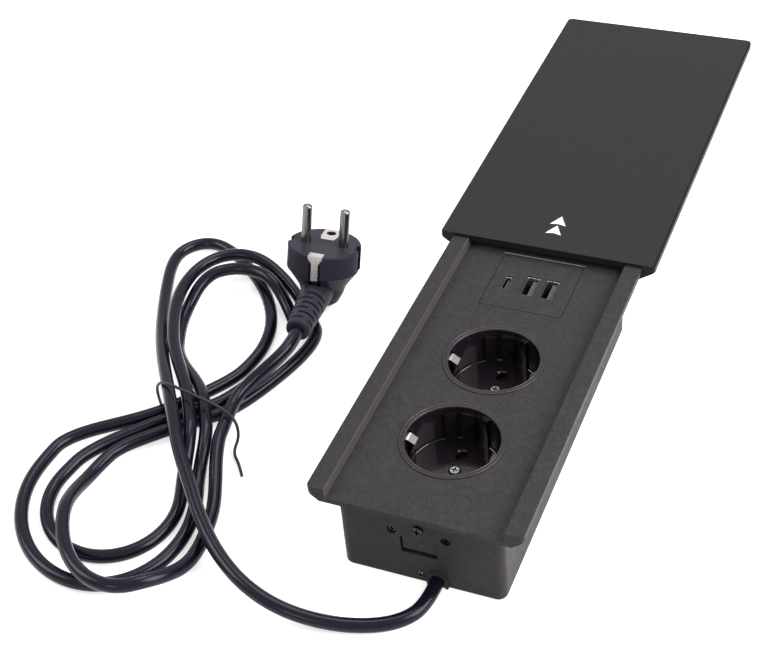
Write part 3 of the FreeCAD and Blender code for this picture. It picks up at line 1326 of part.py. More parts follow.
def make_plug_body():
    r = PLUG_DIAMETER / 2
    back = PLUG_DEPTH
    profile = [(0, 0), (r - PLUG_FACE_ROUND, 0), (r - PLUG_FACE_ROUND * 0.3, -PLUG_FACE_ROUND * 0.3),
               (r, -PLUG_FACE_ROUND), (r, -PLUG_RIM_DEPTH), (r - 0.9, -PLUG_RIM_DEPTH - 1.2),
               (PLUG_WAIST_RADIUS + 2.0, 3.3 - PLUG_WAIST_DEPTH), (PLUG_WAIST_RADIUS, -PLUG_WAIST_DEPTH),
               (PLUG_BACK_RADIUS + 2.0, 6.0 - back), (PLUG_BACK_RADIUS, 1.6 - back),
               (PLUG_BACK_RADIUS - 1.8, -back), (0, -back)]
    body = turned(profile)
    x, y, z = RELIEF_START
    slope = math.atan2(RELIEF_DROP, RELIEF_LENGTH)
    start = -2.0
    neck = Part.makeCone(NECK_RADIUS, RELIEF_THICK / 2, start - y,
                         V(x, start, z + (start - y) * math.tan(slope)),
                         V(0, -math.cos(slope), -math.sin(slope)))
    body = fused(body, neck)
    cuts = []
    for side in (-1, 1):
        pin_x = side * PIN_REACH
        cuts.append(rod(pin_x, 0, -PLUG_PIN_ROOT, 1, PIN_DIAMETER / 2 + SNUG))
        cuts += contact_rooms(side)
        half = PLUG_GROOVE_WIDTH / 2
        x0, x1 = sorted((side * (r - PLUG_GROOVE_DEPTH), side * (r + 1)))
        cuts.append(box(x0, x1, -half, half, -PLUG_RIM_DEPTH - 1, 1))
    cuts.append(rod(0, REAR_HOLE_AT, -REAR_HOLE_DEPTH, 1, REAR_HOLE / 2))
    return stand(body.cut(cuts))


def face_plate(side, grow):
    """The part of a contact that lies on the face, seen from above and grown by a clearance."""
    edge = PLUG_DIAMETER / 2 - PLUG_CONTACT_SINK
    if side < 0:
        half = PLUG_CONTACT_WIDTH / 2 + grow
        inner = PLUG_DIAMETER / 2 - PLUG_CONTACT_REACH - grow
        return [(-half, -edge), (half, -edge), (half, -inner), (-half, -inner)]
    half = REAR_CONTACT_WIDTH / 2 + grow
    start = REAR_CONTACT_START - grow
    near = half - REAR_CONTACT_TAPER / 4
    bend = start + REAR_CONTACT_TAPER
    return [(-near, start), (near, start), (half, bend), (half, edge), (-half, edge), (-half, bend)]


def contact_front(grow):
    """The part of a contact that hangs down the rim, seen from the side: a T that turns into a strip."""
    half = PLUG_CONTACT_WIDTH / 2 + grow
    neck = PLUG_CONTACT_NECK / 2 + grow
    top = -PLUG_CONTACT_SHOULDER
    low = -PLUG_CONTACT_NARROW
    return [(-half, 0), (half, 0), (half, top), (neck, low), (neck, -PLUG_CONTACT_DEPTH),
            (-neck, -PLUG_CONTACT_DEPTH), (-neck, low), (-half, top)]


def contact_toe(side, half, drop, high):
    """The slanting end of a contact or of its channel, between two depths under the taper."""
    r = PLUG_DIAMETER / 2
    y, z = PLUG_CONTACT_TOE
    top = -PLUG_CONTACT_DEPTH
    points = [(r - high, top), (r - drop, top), (y - drop, -z), (y - high, -z)]
    return outline([(-half, side * q, w) for q, w in points]).extrude(V(2 * half, 0, 0))


def contact_rooms(side):
    """What the plug's body leaves free for one contact."""
    r = PLUG_DIAMETER / 2
    face = outline([(x, y, -PLUG_CONTACT_SINK - SNUG) for x, y in face_plate(side, SNUG)])
    rooms = [face.extrude(V(0, 0, PLUG_CONTACT_SINK + 1))]
    floor = r - PLUG_CHANNEL_SINK
    rim = outline([(x, side * floor, z) for x, z in contact_front(SNUG)])
    rooms.append(rim.extrude(V(0, side * (PLUG_CHANNEL_SINK + 1), 0)))
    half = PLUG_CHANNEL_WIDTH / 2
    y0, y1 = sorted((side * floor, side * (r + 1)))
    rooms.append(box(-half, half, y0, y1, -PLUG_CONTACT_DEPTH, -PLUG_CONTACT_NARROW))
    rooms.append(contact_toe(side, half, PLUG_CHANNEL_SINK, -1.0))
    return rooms


def make_plug_pins():
    tip = 1.0
    r = PIN_DIAMETER / 2
    profile = [(0, -PLUG_PIN_ROOT), (r, -PLUG_PIN_ROOT), (r, PIN_LENGTH - tip), (r - 0.3, PIN_LENGTH - 0.35),
               (r - tip, PIN_LENGTH), (0, PIN_LENGTH)]
    return stand(group([turned(profile, side * PIN_REACH, 0) for side in (-1, 1)]))


def make_plug_earth_contacts():
    """A bent strip on each flat side of the plug, from its face down its rim. The rear one has a pin hole."""
    r = PLUG_DIAMETER / 2
    t = PLUG_CONTACT_THICKNESS
    strips = []
    for side in (-1, 1):
        flat = outline([(x, y, -PLUG_CONTACT_SINK) for x, y in face_plate(side, 0)]).extrude(V(0, 0, t))
        back = r - PLUG_CONTACT_SINK - t
        upright = outline([(x, side * back, z) for x, z in contact_front(0)]).extrude(V(0, side * t, 0))
        toe = contact_toe(side, PLUG_CONTACT_NECK / 2, PLUG_CONTACT_SINK + t, PLUG_CONTACT_SINK)
        strips.append(fused(upright, flat, toe))
    strips[1] = strips[1].cut(rod(0, REAR_HOLE_AT, -PLUG_CHANNEL_SINK, 1, REAR_HOLE / 2))
    return stand(group(strips))


def make_strain_relief():
    """A tapered sleeve from the plug to the cord. Rows of slots go round it like joints in brickwork."""
    r = RELIEF_THIN / 2
    end = RELIEF_LENGTH - RELIEF_END_ROUND
    profile = [(0, 0), (RELIEF_THICK / 2, 0)]
    profile += quarter(r - RELIEF_END_ROUND, end, RELIEF_END_ROUND, 0) + [(0, RELIEF_LENGTH)]
    sleeve = turned(profile)
    cuts = []
    for i in range(RELIEF_ROWS):
        share = (i + 1) / (RELIEF_ROWS + 1)
        z = RELIEF_LENGTH * share
        z0 = z - RELIEF_SLOT / 2
        z1 = z + RELIEF_SLOT / 2
        floor = (RELIEF_THICK + (RELIEF_THIN - RELIEF_THICK) * share) / 2 - RELIEF_SLOT_DEPTH
        ring = rod(0, 0, z0, z1, RELIEF_THICK).cut(rod(0, 0, z0 - 1, z1 + 1, floor))
        for k in range(RELIEF_BRIDGES):
            half = RELIEF_BRIDGE_WIDTH / 2
            bridge = box(0, 2 * RELIEF_THICK, -half, half, z0 - 1, z1 + 1)
            bridge.rotate(V(0, 0, 0), V(0, 0, 1), (k + i % 2 / 2) * 360 / RELIEF_BRIDGES)
            ring = ring.cut(bridge)
        cuts.append(ring)
    sleeve = sleeve.cut(cuts)
    slope = math.atan2(RELIEF_DROP, RELIEF_LENGTH)
    along = V(0, -math.cos(slope), -math.sin(slope))
    sleeve.Placement = FreeCAD.Placement(V(*RELIEF_START), FreeCAD.Rotation(V(0, 0, 1), along))
    return stand(sleeve)


def save(name, shape):
    """Check one node and write its file."""
    print("%-22s solids %d valid %s volume %.0f" % (name, len(shape.Solids), shape.isValid(), shape.Volume))
    shape.exportStep("parts/%s.step" % name)


def main():
    os.makedirs("parts", exist_ok=True)
    save("housing", make_housing())
    save("top_frame", make_top_frame())
    save("sliding_cover", make_sliding_cover())
    for name, y in WELL_CENTRES.items():
        save(name + "_socket_well", make_well(y))
        save(name + "_earth_clip", make_earth_clip(y))
        save(name + "_shutter", make_shutter(y))
        save(name + "_shutter_spring", make_spring(y))
    save("contact_carrier", make_contact_carrier())
    save("live_bus_bar", make_bus_bar(1))
    save("neutral_bus_bar", make_bus_bar(-1))
    save("earth_bus_bar", make_earth_bar())
    save("usb_face", make_usb_face())
    save("usb_a_shells", make_usb_a_shells())
    save("usb_c_shell", make_usb_c_shell())
    save("usb_tongues", make_usb_tongues())
    save("usb_board", make_usb_board())
    save("usb_transformer", make_transformer())
    save("usb_capacitors", make_capacitors())
    save("usb_chip", make_chip())
    save("frame_screws", make_frame_screws())
    save("carrier_screws", make_carrier_screws())
    save("well_screws", make_well_screws())
    save("usb_board_screws", make_board_screws())
    save("cord_clamp_screws", make_clamp_screws())
    save("end_wall_screws", make_end_wall_screws())
    save("cord_outlet_screw", make_outlet_screw())
    save("cord_gland", make_cord_gland())
    save("cord_clamp", make_cord_clamp())
    save("live_wire", make_live_wire())
    save("neutral_wire", make_neutral_wire())
    save("earth_wire", make_earth_wire())
    save("usb_wires", make_usb_wires())
    hank, hank_start, hank_end = hank_edges()
    save("cord_lead", make_cord_lead(hank_start))
    save("cord_hank", make_cord_hank(hank))
    save("cord_tail", make_cord_tail(hank_end))
    save("cord_tie", make_cord_tie())
    save("plug_body", make_plug_body())
    save("plug_pins", make_plug_pins())
    save("plug_earth_contacts", make_plug_earth_contacts())
    save("plug_strain_relief", make_strain_relief())


main()
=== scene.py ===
"""Looks for a recessed desk socket with a sliding cover, laid out as a Blender add-on.

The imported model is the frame. Each operator dresses one group of its pieces or makes a new one.
"""

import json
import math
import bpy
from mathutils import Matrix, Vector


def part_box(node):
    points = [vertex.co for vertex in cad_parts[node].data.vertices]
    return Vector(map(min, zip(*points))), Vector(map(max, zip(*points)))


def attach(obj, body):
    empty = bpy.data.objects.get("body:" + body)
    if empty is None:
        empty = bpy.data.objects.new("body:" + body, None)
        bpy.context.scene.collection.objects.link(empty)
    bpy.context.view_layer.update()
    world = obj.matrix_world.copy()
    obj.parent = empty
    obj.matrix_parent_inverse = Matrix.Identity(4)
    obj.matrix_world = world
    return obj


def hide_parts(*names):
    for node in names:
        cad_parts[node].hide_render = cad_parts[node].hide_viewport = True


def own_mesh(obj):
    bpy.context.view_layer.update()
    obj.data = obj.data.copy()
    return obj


bl_info = {
    "name": "Recessed desk socket",
    "version": (1, 0, 0),
    "blender": (4, 5, 0),
    "location": "3D View > Sidebar > Desk socket",
    "description": "Dresses the packed desk socket with its finishes, cord, plug details and stage",
    "category": "Object",
}

import bpy
import numpy as np
from mathutils import Matrix

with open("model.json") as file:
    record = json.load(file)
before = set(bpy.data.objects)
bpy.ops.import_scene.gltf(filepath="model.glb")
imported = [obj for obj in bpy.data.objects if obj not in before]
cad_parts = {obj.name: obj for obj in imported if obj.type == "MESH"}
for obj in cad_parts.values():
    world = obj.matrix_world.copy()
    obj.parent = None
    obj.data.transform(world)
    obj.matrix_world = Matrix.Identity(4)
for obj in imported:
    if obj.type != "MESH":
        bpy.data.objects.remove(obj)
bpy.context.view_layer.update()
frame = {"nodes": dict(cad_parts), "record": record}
MM = 0.001


# Settings

def length(name, description, default, low=0.0, high=1.0):
    return bpy.props.FloatProperty(name=name, description=description, default=default, min=low, max=high,
                                   precision=5, subtype="DISTANCE", unit="LENGTH")


def colour(name, thing, default):
    return bpy.props.FloatVectorProperty(name=name, description="Colour of " + thing, default=default,
                                         size=3, min=0.0, max=1.0, subtype="COLOR")


def angle(name, description, degrees):
    return bpy.props.FloatProperty(name=name, description=description, default=math.radians(degrees),
                                   subtype="ANGLE", unit="ROTATION")


def share(name, description, default):
    return bpy.props.FloatProperty(name=name, description=description, default=default, min=0.0, max=1.0,
                                   subtype="FACTOR")


class CaseSettings(bpy.types.PropertyGroup):
    housing: colour("Housing", "the box below the desk", (0.0285, 0.0253, 0.0285))
    panel: colour("Panel", "the frame on the desk top", (0.0236, 0.0216, 0.0236))
    cover: colour("Cover", "the sliding cover", (0.0188, 0.0168, 0.0188))
    well: colour("Wells", "the glossy socket wells", (0.0100, 0.0072, 0.0100))
    arrows: colour("Arrows", "the two direction arrows", (0.78, 0.78, 0.78))
    grain: length("Grain", "Size of the moulded grain", 0.00042, 0.0001, 0.01)
    grain_depth: length("Grain depth", "How deep the moulded grain is", 0.00005, 0.0, 0.001)


class CordSettings(bpy.types.PropertyGroup):
    diameter: length("Cord", "Thickness of the mains cord", 0.0062, 0.003, 0.02)
    tie_diameter: length("Tie", "Thickness of the tie round the hank", 0.0014, 0.0005, 0.01)
    jacket: colour("Jacket", "the cord's jacket", (0.0055, 0.0050, 0.0115))
    plug: colour("Plug", "the plug's body", (0.0235, 0.0208, 0.0320))
    tie: colour("Tie colour", "the tie", (0.006, 0.006, 0.007))


class MetalSettings(bpy.types.PropertyGroup):
    nickel: colour("Nickel", "the pins and earth contacts", (0.36, 0.335, 0.335))
    steel: colour("Steel", "screws, springs and port shells", (0.40, 0.39, 0.39))
    brass: colour("Brass", "the bars inside", (0.74, 0.52, 0.25))


class StageSettings(bpy.types.PropertyGroup):
    azimuth: angle("Azimuth", "Camera's direction, counted from the front to the right", 25.626)
    elevation: angle("Elevation", "Camera's height above the level", 39.829)
    roll: angle("Roll", "Camera's turn about its own axis", -5.757)
    distance: length("Distance", "From the camera to the point that it looks at", 0.708252, 0.1, 5.0)
    target: bpy.props.FloatVectorProperty(name="Target", description="Point that the camera looks at",
                                          default=(-0.054927, 0.011787, 0.0425), size=3,
                                          subtype="TRANSLATION", unit="LENGTH")
    lens: bpy.props.FloatProperty(name="Lens", description="Focal length in millimetres", default=73.775,
                                  min=10.0, max=300.0)
    floor: share("Floor", "How pale the floor is", 0.80)
    fill: share("Fill", "Light from all round", 0.15)


# Measures of the small pieces, in metres.

# Where the recess's left wall stands, from the middle.
LEFT_WALL = 0.03775
# The recess's left wall has a painted highlight this far from its middle, and none from here on.
WALL_HIGHLIGHT = 0.0002
WALL_HIGHLIGHT_FADE = 0.0005
# The painted shade along the cover's right edge: how wide it is on the right, and how far it reaches down.
EDGE_SHADE_WIDTH = 0.0012
EDGE_SHADE_HEIGHT = 0.0007
# One colour gives way to another over twice this, or four times where the edge is softer.
SOFT_EDGE = 0.0001
# The shutter springs' wire and turns, and how many faces a turn and the wire's round section have.
SPRING_WIRE = 0.0004
SPRING_TURNS = 6
TURN_FACES = 24
WIRE_FACES = 8
# The wells' glossy plastic ends at this height, and their lips begin.
LIP_FOOT = 0.0424
# How much of the ports' shells has a painted highlight at their rear ends; the rest of each shell has
# painted shade.
PORT_PAINTED_HIGHLIGHT = 0.0009
# The bead on the charging insert: its section's radius, the bare ends beside it, how deep its middle lies.
INSERT_BEAD = 0.0003
INSERT_BEAD_END = 0.0008
INSERT_BEAD_SINK = 0.00004
# The arrows' paint: how deep its top lies in the cover, and how thick it is.
PAINT_DEPTH = 0.00022
PAINT_THICKNESS = 0.0001

# Measures in millimetres, of shapes that are worked out in them.

# Each arrow: its start behind the cover's front edge, half its width, the gap to its recess, how deep its
# notch is and how far the notch lies from the tip.
ARROW_STARTS = (11.6, 19.0)
ARROW_HALF_WIDTH = 4.05
ARROW_GAP = 0.08
ARROW_NOTCH = 0.9
ARROW_LENGTH = 6.6
# The beads on a well's lip: their radii round the well, their section's radius, how deep its middle lies,
# and how many steps go round the well and round the section.
BEAD_RADII = (22.05, 20.42)
BEAD_SIZE = 0.18
BEAD_SINK = 0.08
RING_STEPS = 144
SECTION_STEPS = 13

# Colours of what lies inside.
INSIDE = {
    "carrier": (0.42, 0.40, 0.36),
    "tongues": (0.050, 0.046, 0.050),
    "board": (0.012, 0.085, 0.03),
    "board_lines": (0.03, 0.16, 0.06),
    "tape": (0.55, 0.38, 0.05),
    "tape_edges": (0.40, 0.26, 0.03),
    "capacitors": (0.010, 0.014, 0.045),
    "chip": (0.018, 0.018, 0.019),
    "usb_wires": (0.35, 0.02, 0.02),
    "live_wire": (0.16, 0.05, 0.02),
    "neutral_wire": (0.02, 0.07, 0.36),
    "earth_wire": (0.22, 0.40, 0.04),
}

# The floor: half its width, how far out its glow starts and stops growing, and the glow at both.
FLOOR_REACH = 6.0
GLOW_DISTANCES = (0.6, 2.0)
GLOWS = (0.66, 0.95)
# Each lamp: its name, its place, the point that it aims at, its width and its power in watts.
LAMPS = (
    ("key_softbox", (1.22, 0.10, 0.90), (0.0, 0.0, 0.03), 1.2, 40.0),
    ("top_softbox", (-0.1, 0.7, 1.5), (-0.05, 0.05, 0.0), 0.9, 11.0),
    ("left_softbox", (-1.3, -0.3, 1.1), (-0.1, 0.0, 0.0), 0.8, 12.0),
    ("front_softbox", (-0.3, -1.5, 0.9), (-0.05, 0.0, 0.0), 0.5, 3.0),
)
# The camera's sensor in millimetres, and how near a thing may be to be seen, in metres.
SENSOR_WIDTH = 36.0
NEAREST_SEEN = 0.01


# Surfaces and pieces

def grid_mesh(name, points, closed_v=False):
    """A mesh from a grid of points [u, v, xyz].

    Each cell of the grid becomes one face. Closed along v, the last column joins the first.
    """
    nu, nv = points.shape[:2]
    index = np.arange(nu * nv).reshape(nu, nv)
    if closed_v:
        index = np.hstack([index, index[:, :1]])
    faces = np.stack([index[:-1, :-1], index[1:, :-1], index[1:, 1:], index[:-1, 1:]], axis=-1)
    mesh = bpy.data.meshes.new(name)
    mesh.from_pydata(points.reshape(-1, 3).tolist(), [], faces.reshape(-1, 4).tolist())
    mesh.polygons.foreach_set("use_smooth", [True] * len(mesh.polygons))
    mesh.update()
    return mesh


def bead_ring(radius, height, x, y):
    """A thin round bead lying in a ring. Measures go in as millimetres, points come out in metres.

    Its section is a circle: r = radius + size cos a, z = height + size sin a. The ring turns it round an
    upright axis: x + r cos t, y + r sin t, z.
    """
    a = np.linspace(0, 2 * np.pi, SECTION_STEPS)
    r = radius + BEAD_SIZE * np.cos(a)
    z = height + BEAD_SIZE * np.sin(a)
    t = np.linspace(0, 2 * np.pi, RING_STEPS, endpoint=False)[:, None]
    ring = np.stack([x + r * np.cos(t), y + r * np.sin(t), z + t * 0], axis=-1) * MM
    return np.concatenate([ring, ring[:1]])


def joined_mesh(name, grids):
    """One smooth mesh from several grids of points."""
    rows, faces, base = [], [], 0
    for points in grids:
        nu, nv = points.shape[:2]
        index = np.arange(nu * nv).reshape(nu, nv) + base
        faces.append(np.stack([index[:-1, :-1], index[:-1, 1:], index[1:, 1:], index[1:, :-1]],
                              axis=-1).reshape(-1, 4))
        rows.append(points.reshape(-1, 3))
        base += nu * nv
    mesh = bpy.data.meshes.new(name)
    mesh.from_pydata(np.vstack(rows).tolist(), [], np.vstack(faces).tolist())
    mesh.polygons.foreach_set("use_smooth", [True] * len(mesh.polygons))
    mesh.update()
    return mesh


def coil_points(low, high):
    """A spring's round wire, coiled along x between the corners of its box.

    The middle line is y + radius cos turn, z + radius sin turn, and x grows with the turn. The wire's
    section adds half the wire times cos around to the radius, and times sin around to x.
    """
    middle = (low + high) / 2
    turn, around = np.meshgrid(np.linspace(0, 2 * np.pi * SPRING_TURNS, TURN_FACES * SPRING_TURNS),
                               np.linspace(0, 2 * np.pi, WIRE_FACES, endpoint=False), indexing="ij")
    reach = (high[1] - low[1] - SPRING_WIRE) / 2 + SPRING_WIRE / 2 * np.cos(around)
    x = (low[0] + SPRING_WIRE + (high[0] - low[0] - 2 * SPRING_WIRE) * turn / turn.max()
         + SPRING_WIRE / 2 * np.sin(around))
    return np.stack([x, middle[1] + reach * np.cos(turn), middle[2] + reach * np.sin(turn)], axis=-1)


def arrow_points(start, front, top):
    """One flat arrow behind the cover's front edge, at a height.

    Across is u times half the width, u from -1 to 1. Along is start + gap + (1 - |u|) (notch + v length),
    v from 0 at the notch's edge to 1 at the tip's.
    """
    u, v = np.meshgrid(np.linspace(-1, 1, 21), np.linspace(0, 1, 9), indexing="ij")
    across = u * ARROW_HALF_WIDTH
    along = start + ARROW_GAP + (1 - abs(u)) * (ARROW_NOTCH + v * ARROW_LENGTH)
    return np.stack([across * MM, front + along * MM, np.full(u.shape, top)], axis=-1)


def placed(right, up, back, place):
    """The matrix of a camera or lamp from its own three directions and its place."""
    rows = np.eye(4)
    rows[:3] = np.stack([right, up, back, place], axis=1)
    return Matrix(rows.tolist())


def add_piece(name, data, material, body, slot, *replaced):
    """Puts a new piece in the scene, on its body, with its finish, and hides the nodes that it stands for.
    """
    piece = bpy.data.objects.new(name, data)
    bpy.context.scene.collection.objects.link(piece)
    data.materials.append(material)
    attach(piece, body)
    if replaced:
        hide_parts(*replaced)
    return piece


def body_of(name):
    """The name of the CAD body that holds a node."""
    bodies = frame["record"]["behaviour"]["bodies"]
    return next(body for body, nodes in bodies.items() if name in nodes)


def shade(base, factor, lift=0.0):
    """A colour times a factor plus a lift, white at most."""
    return tuple(np.minimum(np.array(base) * factor + lift, 1.0))


# Shader groups

def new_group(name, setting, results):
    """An empty shader group for a place and one setting. Returns it, what goes in and what comes out."""
    group = bpy.data.node_groups.new(name, "ShaderNodeTree")
    label, kind, value = setting
    group.interface.new_socket(name="Vector", in_out="INPUT", socket_type="NodeSocketVector")
    group.interface.new_socket(name=label, in_out="INPUT", socket_type=kind).default_value = value
    for label in results:
        group.interface.new_socket(name=label, in_out="OUTPUT", socket_type="NodeSocketFloat")
    return group, group.nodes.new("NodeGroupInput").outputs, group.nodes.new("NodeGroupOutput").inputs


def fill(tree, slot, value):
    """Links an input to another node's output, or gives it a value of its own."""
    if isinstance(value, bpy.types.NodeSocket):
        tree.links.new(value, slot)
    else:
        slot.default_value = value


def node(tree, kind, **values):
    """A node with its properties and inputs. An input goes by its name, or by i and its number."""
    made = tree.nodes.new(kind)
    for key, value in values.items():
        if hasattr(made, key) and key not in made.inputs:
            setattr(made, key, value)
        elif key[0] == "i" and key[1:].isdigit():
            fill(tree, made.inputs[int(key[1:])], value)
        else:
            fill(tree, made.inputs[key], value)
    return made


def maths(tree, operation, *values, clamp=False):
    made = tree.nodes.new("ShaderNodeMath")
    made.operation = operation
    made.use_clamp = clamp
    for slot, value in zip(made.inputs, values):
        fill(tree, slot, value)
    return made.outputs[0]


def ramp(tree, value, start, end, low=0.0, high=1.0):
    """Goes from low to high as the value goes from start to end, and stays level outside them."""
    return node(tree, "ShaderNodeMapRange", i0=value, i1=start, i2=end, i3=low, i4=high).outputs[0]


def vary(tree, mask, middle, spread):
    """Goes from half the spread below the middle to half above it, as the mask goes from 0 to 1."""
    return maths(tree, "MULTIPLY_ADD", mask, spread, middle - spread / 2)


def noise(tree, place, **values):
    """Blender's noise at a place, from 0 to 1."""
    return node(tree, "ShaderNodeTexNoise", Vector=place, **values).outputs[0]


def stretched(tree, place, factors):
    """The place with each of x, y and z times its own factor."""
    return node(tree, "ShaderNodeVectorMath", operation="MULTIPLY", i0=place, i1=factors).outputs[0]


def seen_directly(tree):
    """1 for what the camera sees, mirrored and through clear things too, and 0 for light that bounces."""
    path = tree.nodes.new("ShaderNodeLightPath")
    seen = maths(tree, "MAXIMUM", path.outputs["Is Camera Ray"], path.outputs["Is Glossy Ray"])
    return maths(tree, "MAXIMUM", seen, path.outputs["Is Transmission Ray"])


def moulding_grain_group():
    """Fine moulded grain, its pale specks, slow patches and cloudy swirls."""
    group, given, out = new_group("Moulding grain", ("Size", "NodeSocketFloat", 0.0005),
                                  ["Height", "Specks", "Patches", "Swirls"])
    place = given["Vector"]
    pitch = maths(group, "DIVIDE", 1.0, given["Size"])
    scaled = node(group, "ShaderNodeVectorMath", operation="SCALE", i0=place, Scale=pitch).outputs[0]
    grain = noise(group, scaled, Scale=1.0, Detail=3.0, Roughness=0.55)
    cells = node(group, "ShaderNodeTexVoronoi", Vector=scaled, Scale=0.8).outputs["Distance"]
    height = maths(group, "ADD", grain, maths(group, "MULTIPLY", cells, 0.45))
    specks = ramp(group, noise(group, scaled, Scale=1.7, Detail=1.0), 0.56, 0.74)
    slow = noise(group, place, Scale=55.0, Detail=4.0, Roughness=0.6)
    swirled = noise(group, place, Scale=330.0, Detail=4.0, Roughness=0.62, Distortion=1.8)
    swirls = ramp(group, swirled, 0.32, 0.68)
    fold = noise(group, place, Scale=150.0, Detail=2.0, Roughness=0.5, Distortion=3.0)
    folds = ramp(group, fold, 0.35, 0.65)
    cloudy = maths(group, "MULTIPLY_ADD", swirls, 0.55, maths(group, "MULTIPLY", folds, 0.45))
    group.links.new(height, out["Height"])
    group.links.new(specks, out["Specks"])
    group.links.new(slow, out["Patches"])
    group.links.new(cloudy, out["Swirls"])
    return group


def handling_group():
    """Rubbed places and fine hairline scratches, as masks from 0 to 1."""
    group, given, out = new_group("Handling marks", ("Turn", "NodeSocketFloat", 0.4),
                                  ["Scratches", "Rubbed"])
    turned = node(group, "ShaderNodeVectorRotate", rotation_type="Z_AXIS", Vector=given["Vector"],
                  Angle=given["Turn"]).outputs[0]
    # Few waves along x and many across it: long, thin hairs.
    hair = noise(group, stretched(group, turned, (40.0, 2600.0, 900.0)), Scale=1.0, Detail=2.0)
    lines = ramp(group, hair, 0.66, 0.74)
    rubbed = ramp(group, noise(group, given["Vector"], Scale=24.0, Detail=3.0), 0.42, 0.70)
    group.links.new(maths(group, "MULTIPLY", lines, rubbed), out["Scratches"])
    group.links.new(rubbed, out["Rubbed"])
    return group


def rolled_metal_group():
    """Fine rolling lines along one direction of metal, and a dull bloom in patches."""
    group, given, out = new_group("Rolled metal", ("Stretch", "NodeSocketVector", (1.0, 1.0, 0.05)),
                                  ["Lines", "Bloom"])
    pulled = stretched(group, given["Vector"], given["Stretch"])
    group.links.new(noise(group, pulled, Scale=5200.0, Detail=2.0), out["Lines"])
    group.links.new(noise(group, given["Vector"], Scale=260.0, Detail=3.0), out["Bloom"])
    return group


GROUPS = {}


def shared_group(name):
    """One of the shared shader groups, made when it is first asked for."""
    makers = {"grain": moulding_grain_group, "handling": handling_group, "metal": rolled_metal_group}
    if name not in GROUPS:
        GROUPS[name] = makers[name]()
    return GROUPS[name]


def use_group(tree, name, **inputs):
    made = tree.nodes.new("ShaderNodeGroup")
    made.node_tree = shared_group(name)
    for key, value in inputs.items():
        fill(tree, made.inputs[key], value)
    return made


def start_material(name):
    """A new material: its node tree, its Principled shader and its place on the object."""
    material = bpy.data.materials.new(name)
    material.use_nodes = True
    tree = material.node_tree
    shader = tree.nodes["Principled BSDF"]
    place = tree.nodes.new("ShaderNodeTexCoord").outputs["Object"]
    return material, tree, shader, place


def blend_colours(tree, mask, first, second):
    """The first colour where the mask is 0 and the second where it is 1."""
    made = tree.nodes.new("ShaderNodeMix")
    made.data_type = "RGBA"
    fill(tree, made.inputs[0], mask)
    for slot, value in ((made.inputs[6], first), (made.inputs[7], second)):
        fill(tree, slot, value if isinstance(value, bpy.types.NodeSocket) else (*value, 1.0))
    return made.outputs[2]


def masked(tree, mask, amount, first, second):
    """The first colour with some of the second, by a mask times an amount."""
    return blend_colours(tree, maths(tree, "MULTIPLY", mask, amount), first, second)


def set_shader(tree, shader, values):
    """Links or fills the shader's inputs, each by its name."""
    for name, value in values.items():
        fill(tree, shader.inputs[name], value)


def add_bump(tree, shader, height, depth, strength=1.0):
    bump = node(tree, "ShaderNodeBump", Strength=strength, Distance=depth, Height=height)
    tree.links.new(bump.outputs[0], shader.inputs["Normal"])


# Finishes

def moulded_finish(name, base, roughness, grain, depth, specks, shine, scratches=0.05, swirl=0.25):
    """Matte or satin moulded plastic with grain, cloudy swirls, pale specks and hairlines."""
    material, tree, shader, place = start_material(name)
    moulding = use_group(tree, "grain", Vector=place, Size=grain)
    marks = use_group(tree, "handling", Vector=place)
    coloured = masked(tree, moulding.outputs["Specks"], specks, base, shade(base, 2.1, 0.006))
    coloured = masked(tree, marks.outputs["Scratches"], scratches, coloured, shade(base, 3.0, 0.02))
    cloudy = maths(tree, "MULTIPLY", moulding.outputs["Swirls"], swirl, clamp=True)
    coloured = blend_colours(tree, cloudy, coloured, tuple(np.array(base) * 2.6))
    rough = vary(tree, moulding.outputs["Patches"], roughness, 0.16)
    rough = maths(tree, "MULTIPLY_ADD", marks.outputs["Rubbed"], -0.05, rough)
    rough = maths(tree, "MULTIPLY_ADD", moulding.outputs["Swirls"], -0.3 * swirl, rough)
    set_shader(tree, shader, {"Base Color": coloured, "Roughness": rough, "Specular IOR Level": shine,
                              "Specular Tint": (1.0, 0.92, 1.0, 1.0)})
    add_bump(tree, shader, moulding.outputs["Height"], depth)
    return material


def well_finish(name, base, lip, edge):
    """Glossy black well whose lip, above a height on the object, has the panel's matte plastic."""
    material, tree, shader, place = start_material(name)
    moulding = use_group(tree, "grain", Vector=place, Size=0.0006)
    marks = use_group(tree, "handling", Vector=place, Turn=1.1)
    height = node(tree, "ShaderNodeSeparateXYZ", i0=place).outputs[2]
    on_lip = ramp(tree, height, edge - 2 * SOFT_EDGE, edge + SOFT_EDGE)
    dusty = masked(tree, moulding.outputs["Specks"], 0.08, base, shade(base, 1.0, 0.03))
    dusty = masked(tree, marks.outputs["Scratches"], 0.15, dusty, shade(base, 1.0, 0.05))
    matte = masked(tree, moulding.outputs["Swirls"], 0.35, lip, shade(lip, 1.8))
    rough = vary(tree, moulding.outputs["Patches"], 0.14, 0.08)
    set_shader(tree, shader, {
        "Base Color": blend_colours(tree, on_lip, dusty, matte),
        "Roughness": maths(tree, "MULTIPLY_ADD", on_lip, 0.38, rough),
        "Specular IOR Level": 0.12, "Specular Tint": (1.0, 0.85, 1.0, 1.0), "Coat Roughness": 0.05,
        "Coat Weight": maths(tree, "MULTIPLY_ADD", on_lip, -0.4, 0.4)})
    add_bump(tree, shader, moulding.outputs["Height"], 0.00002)
    return material


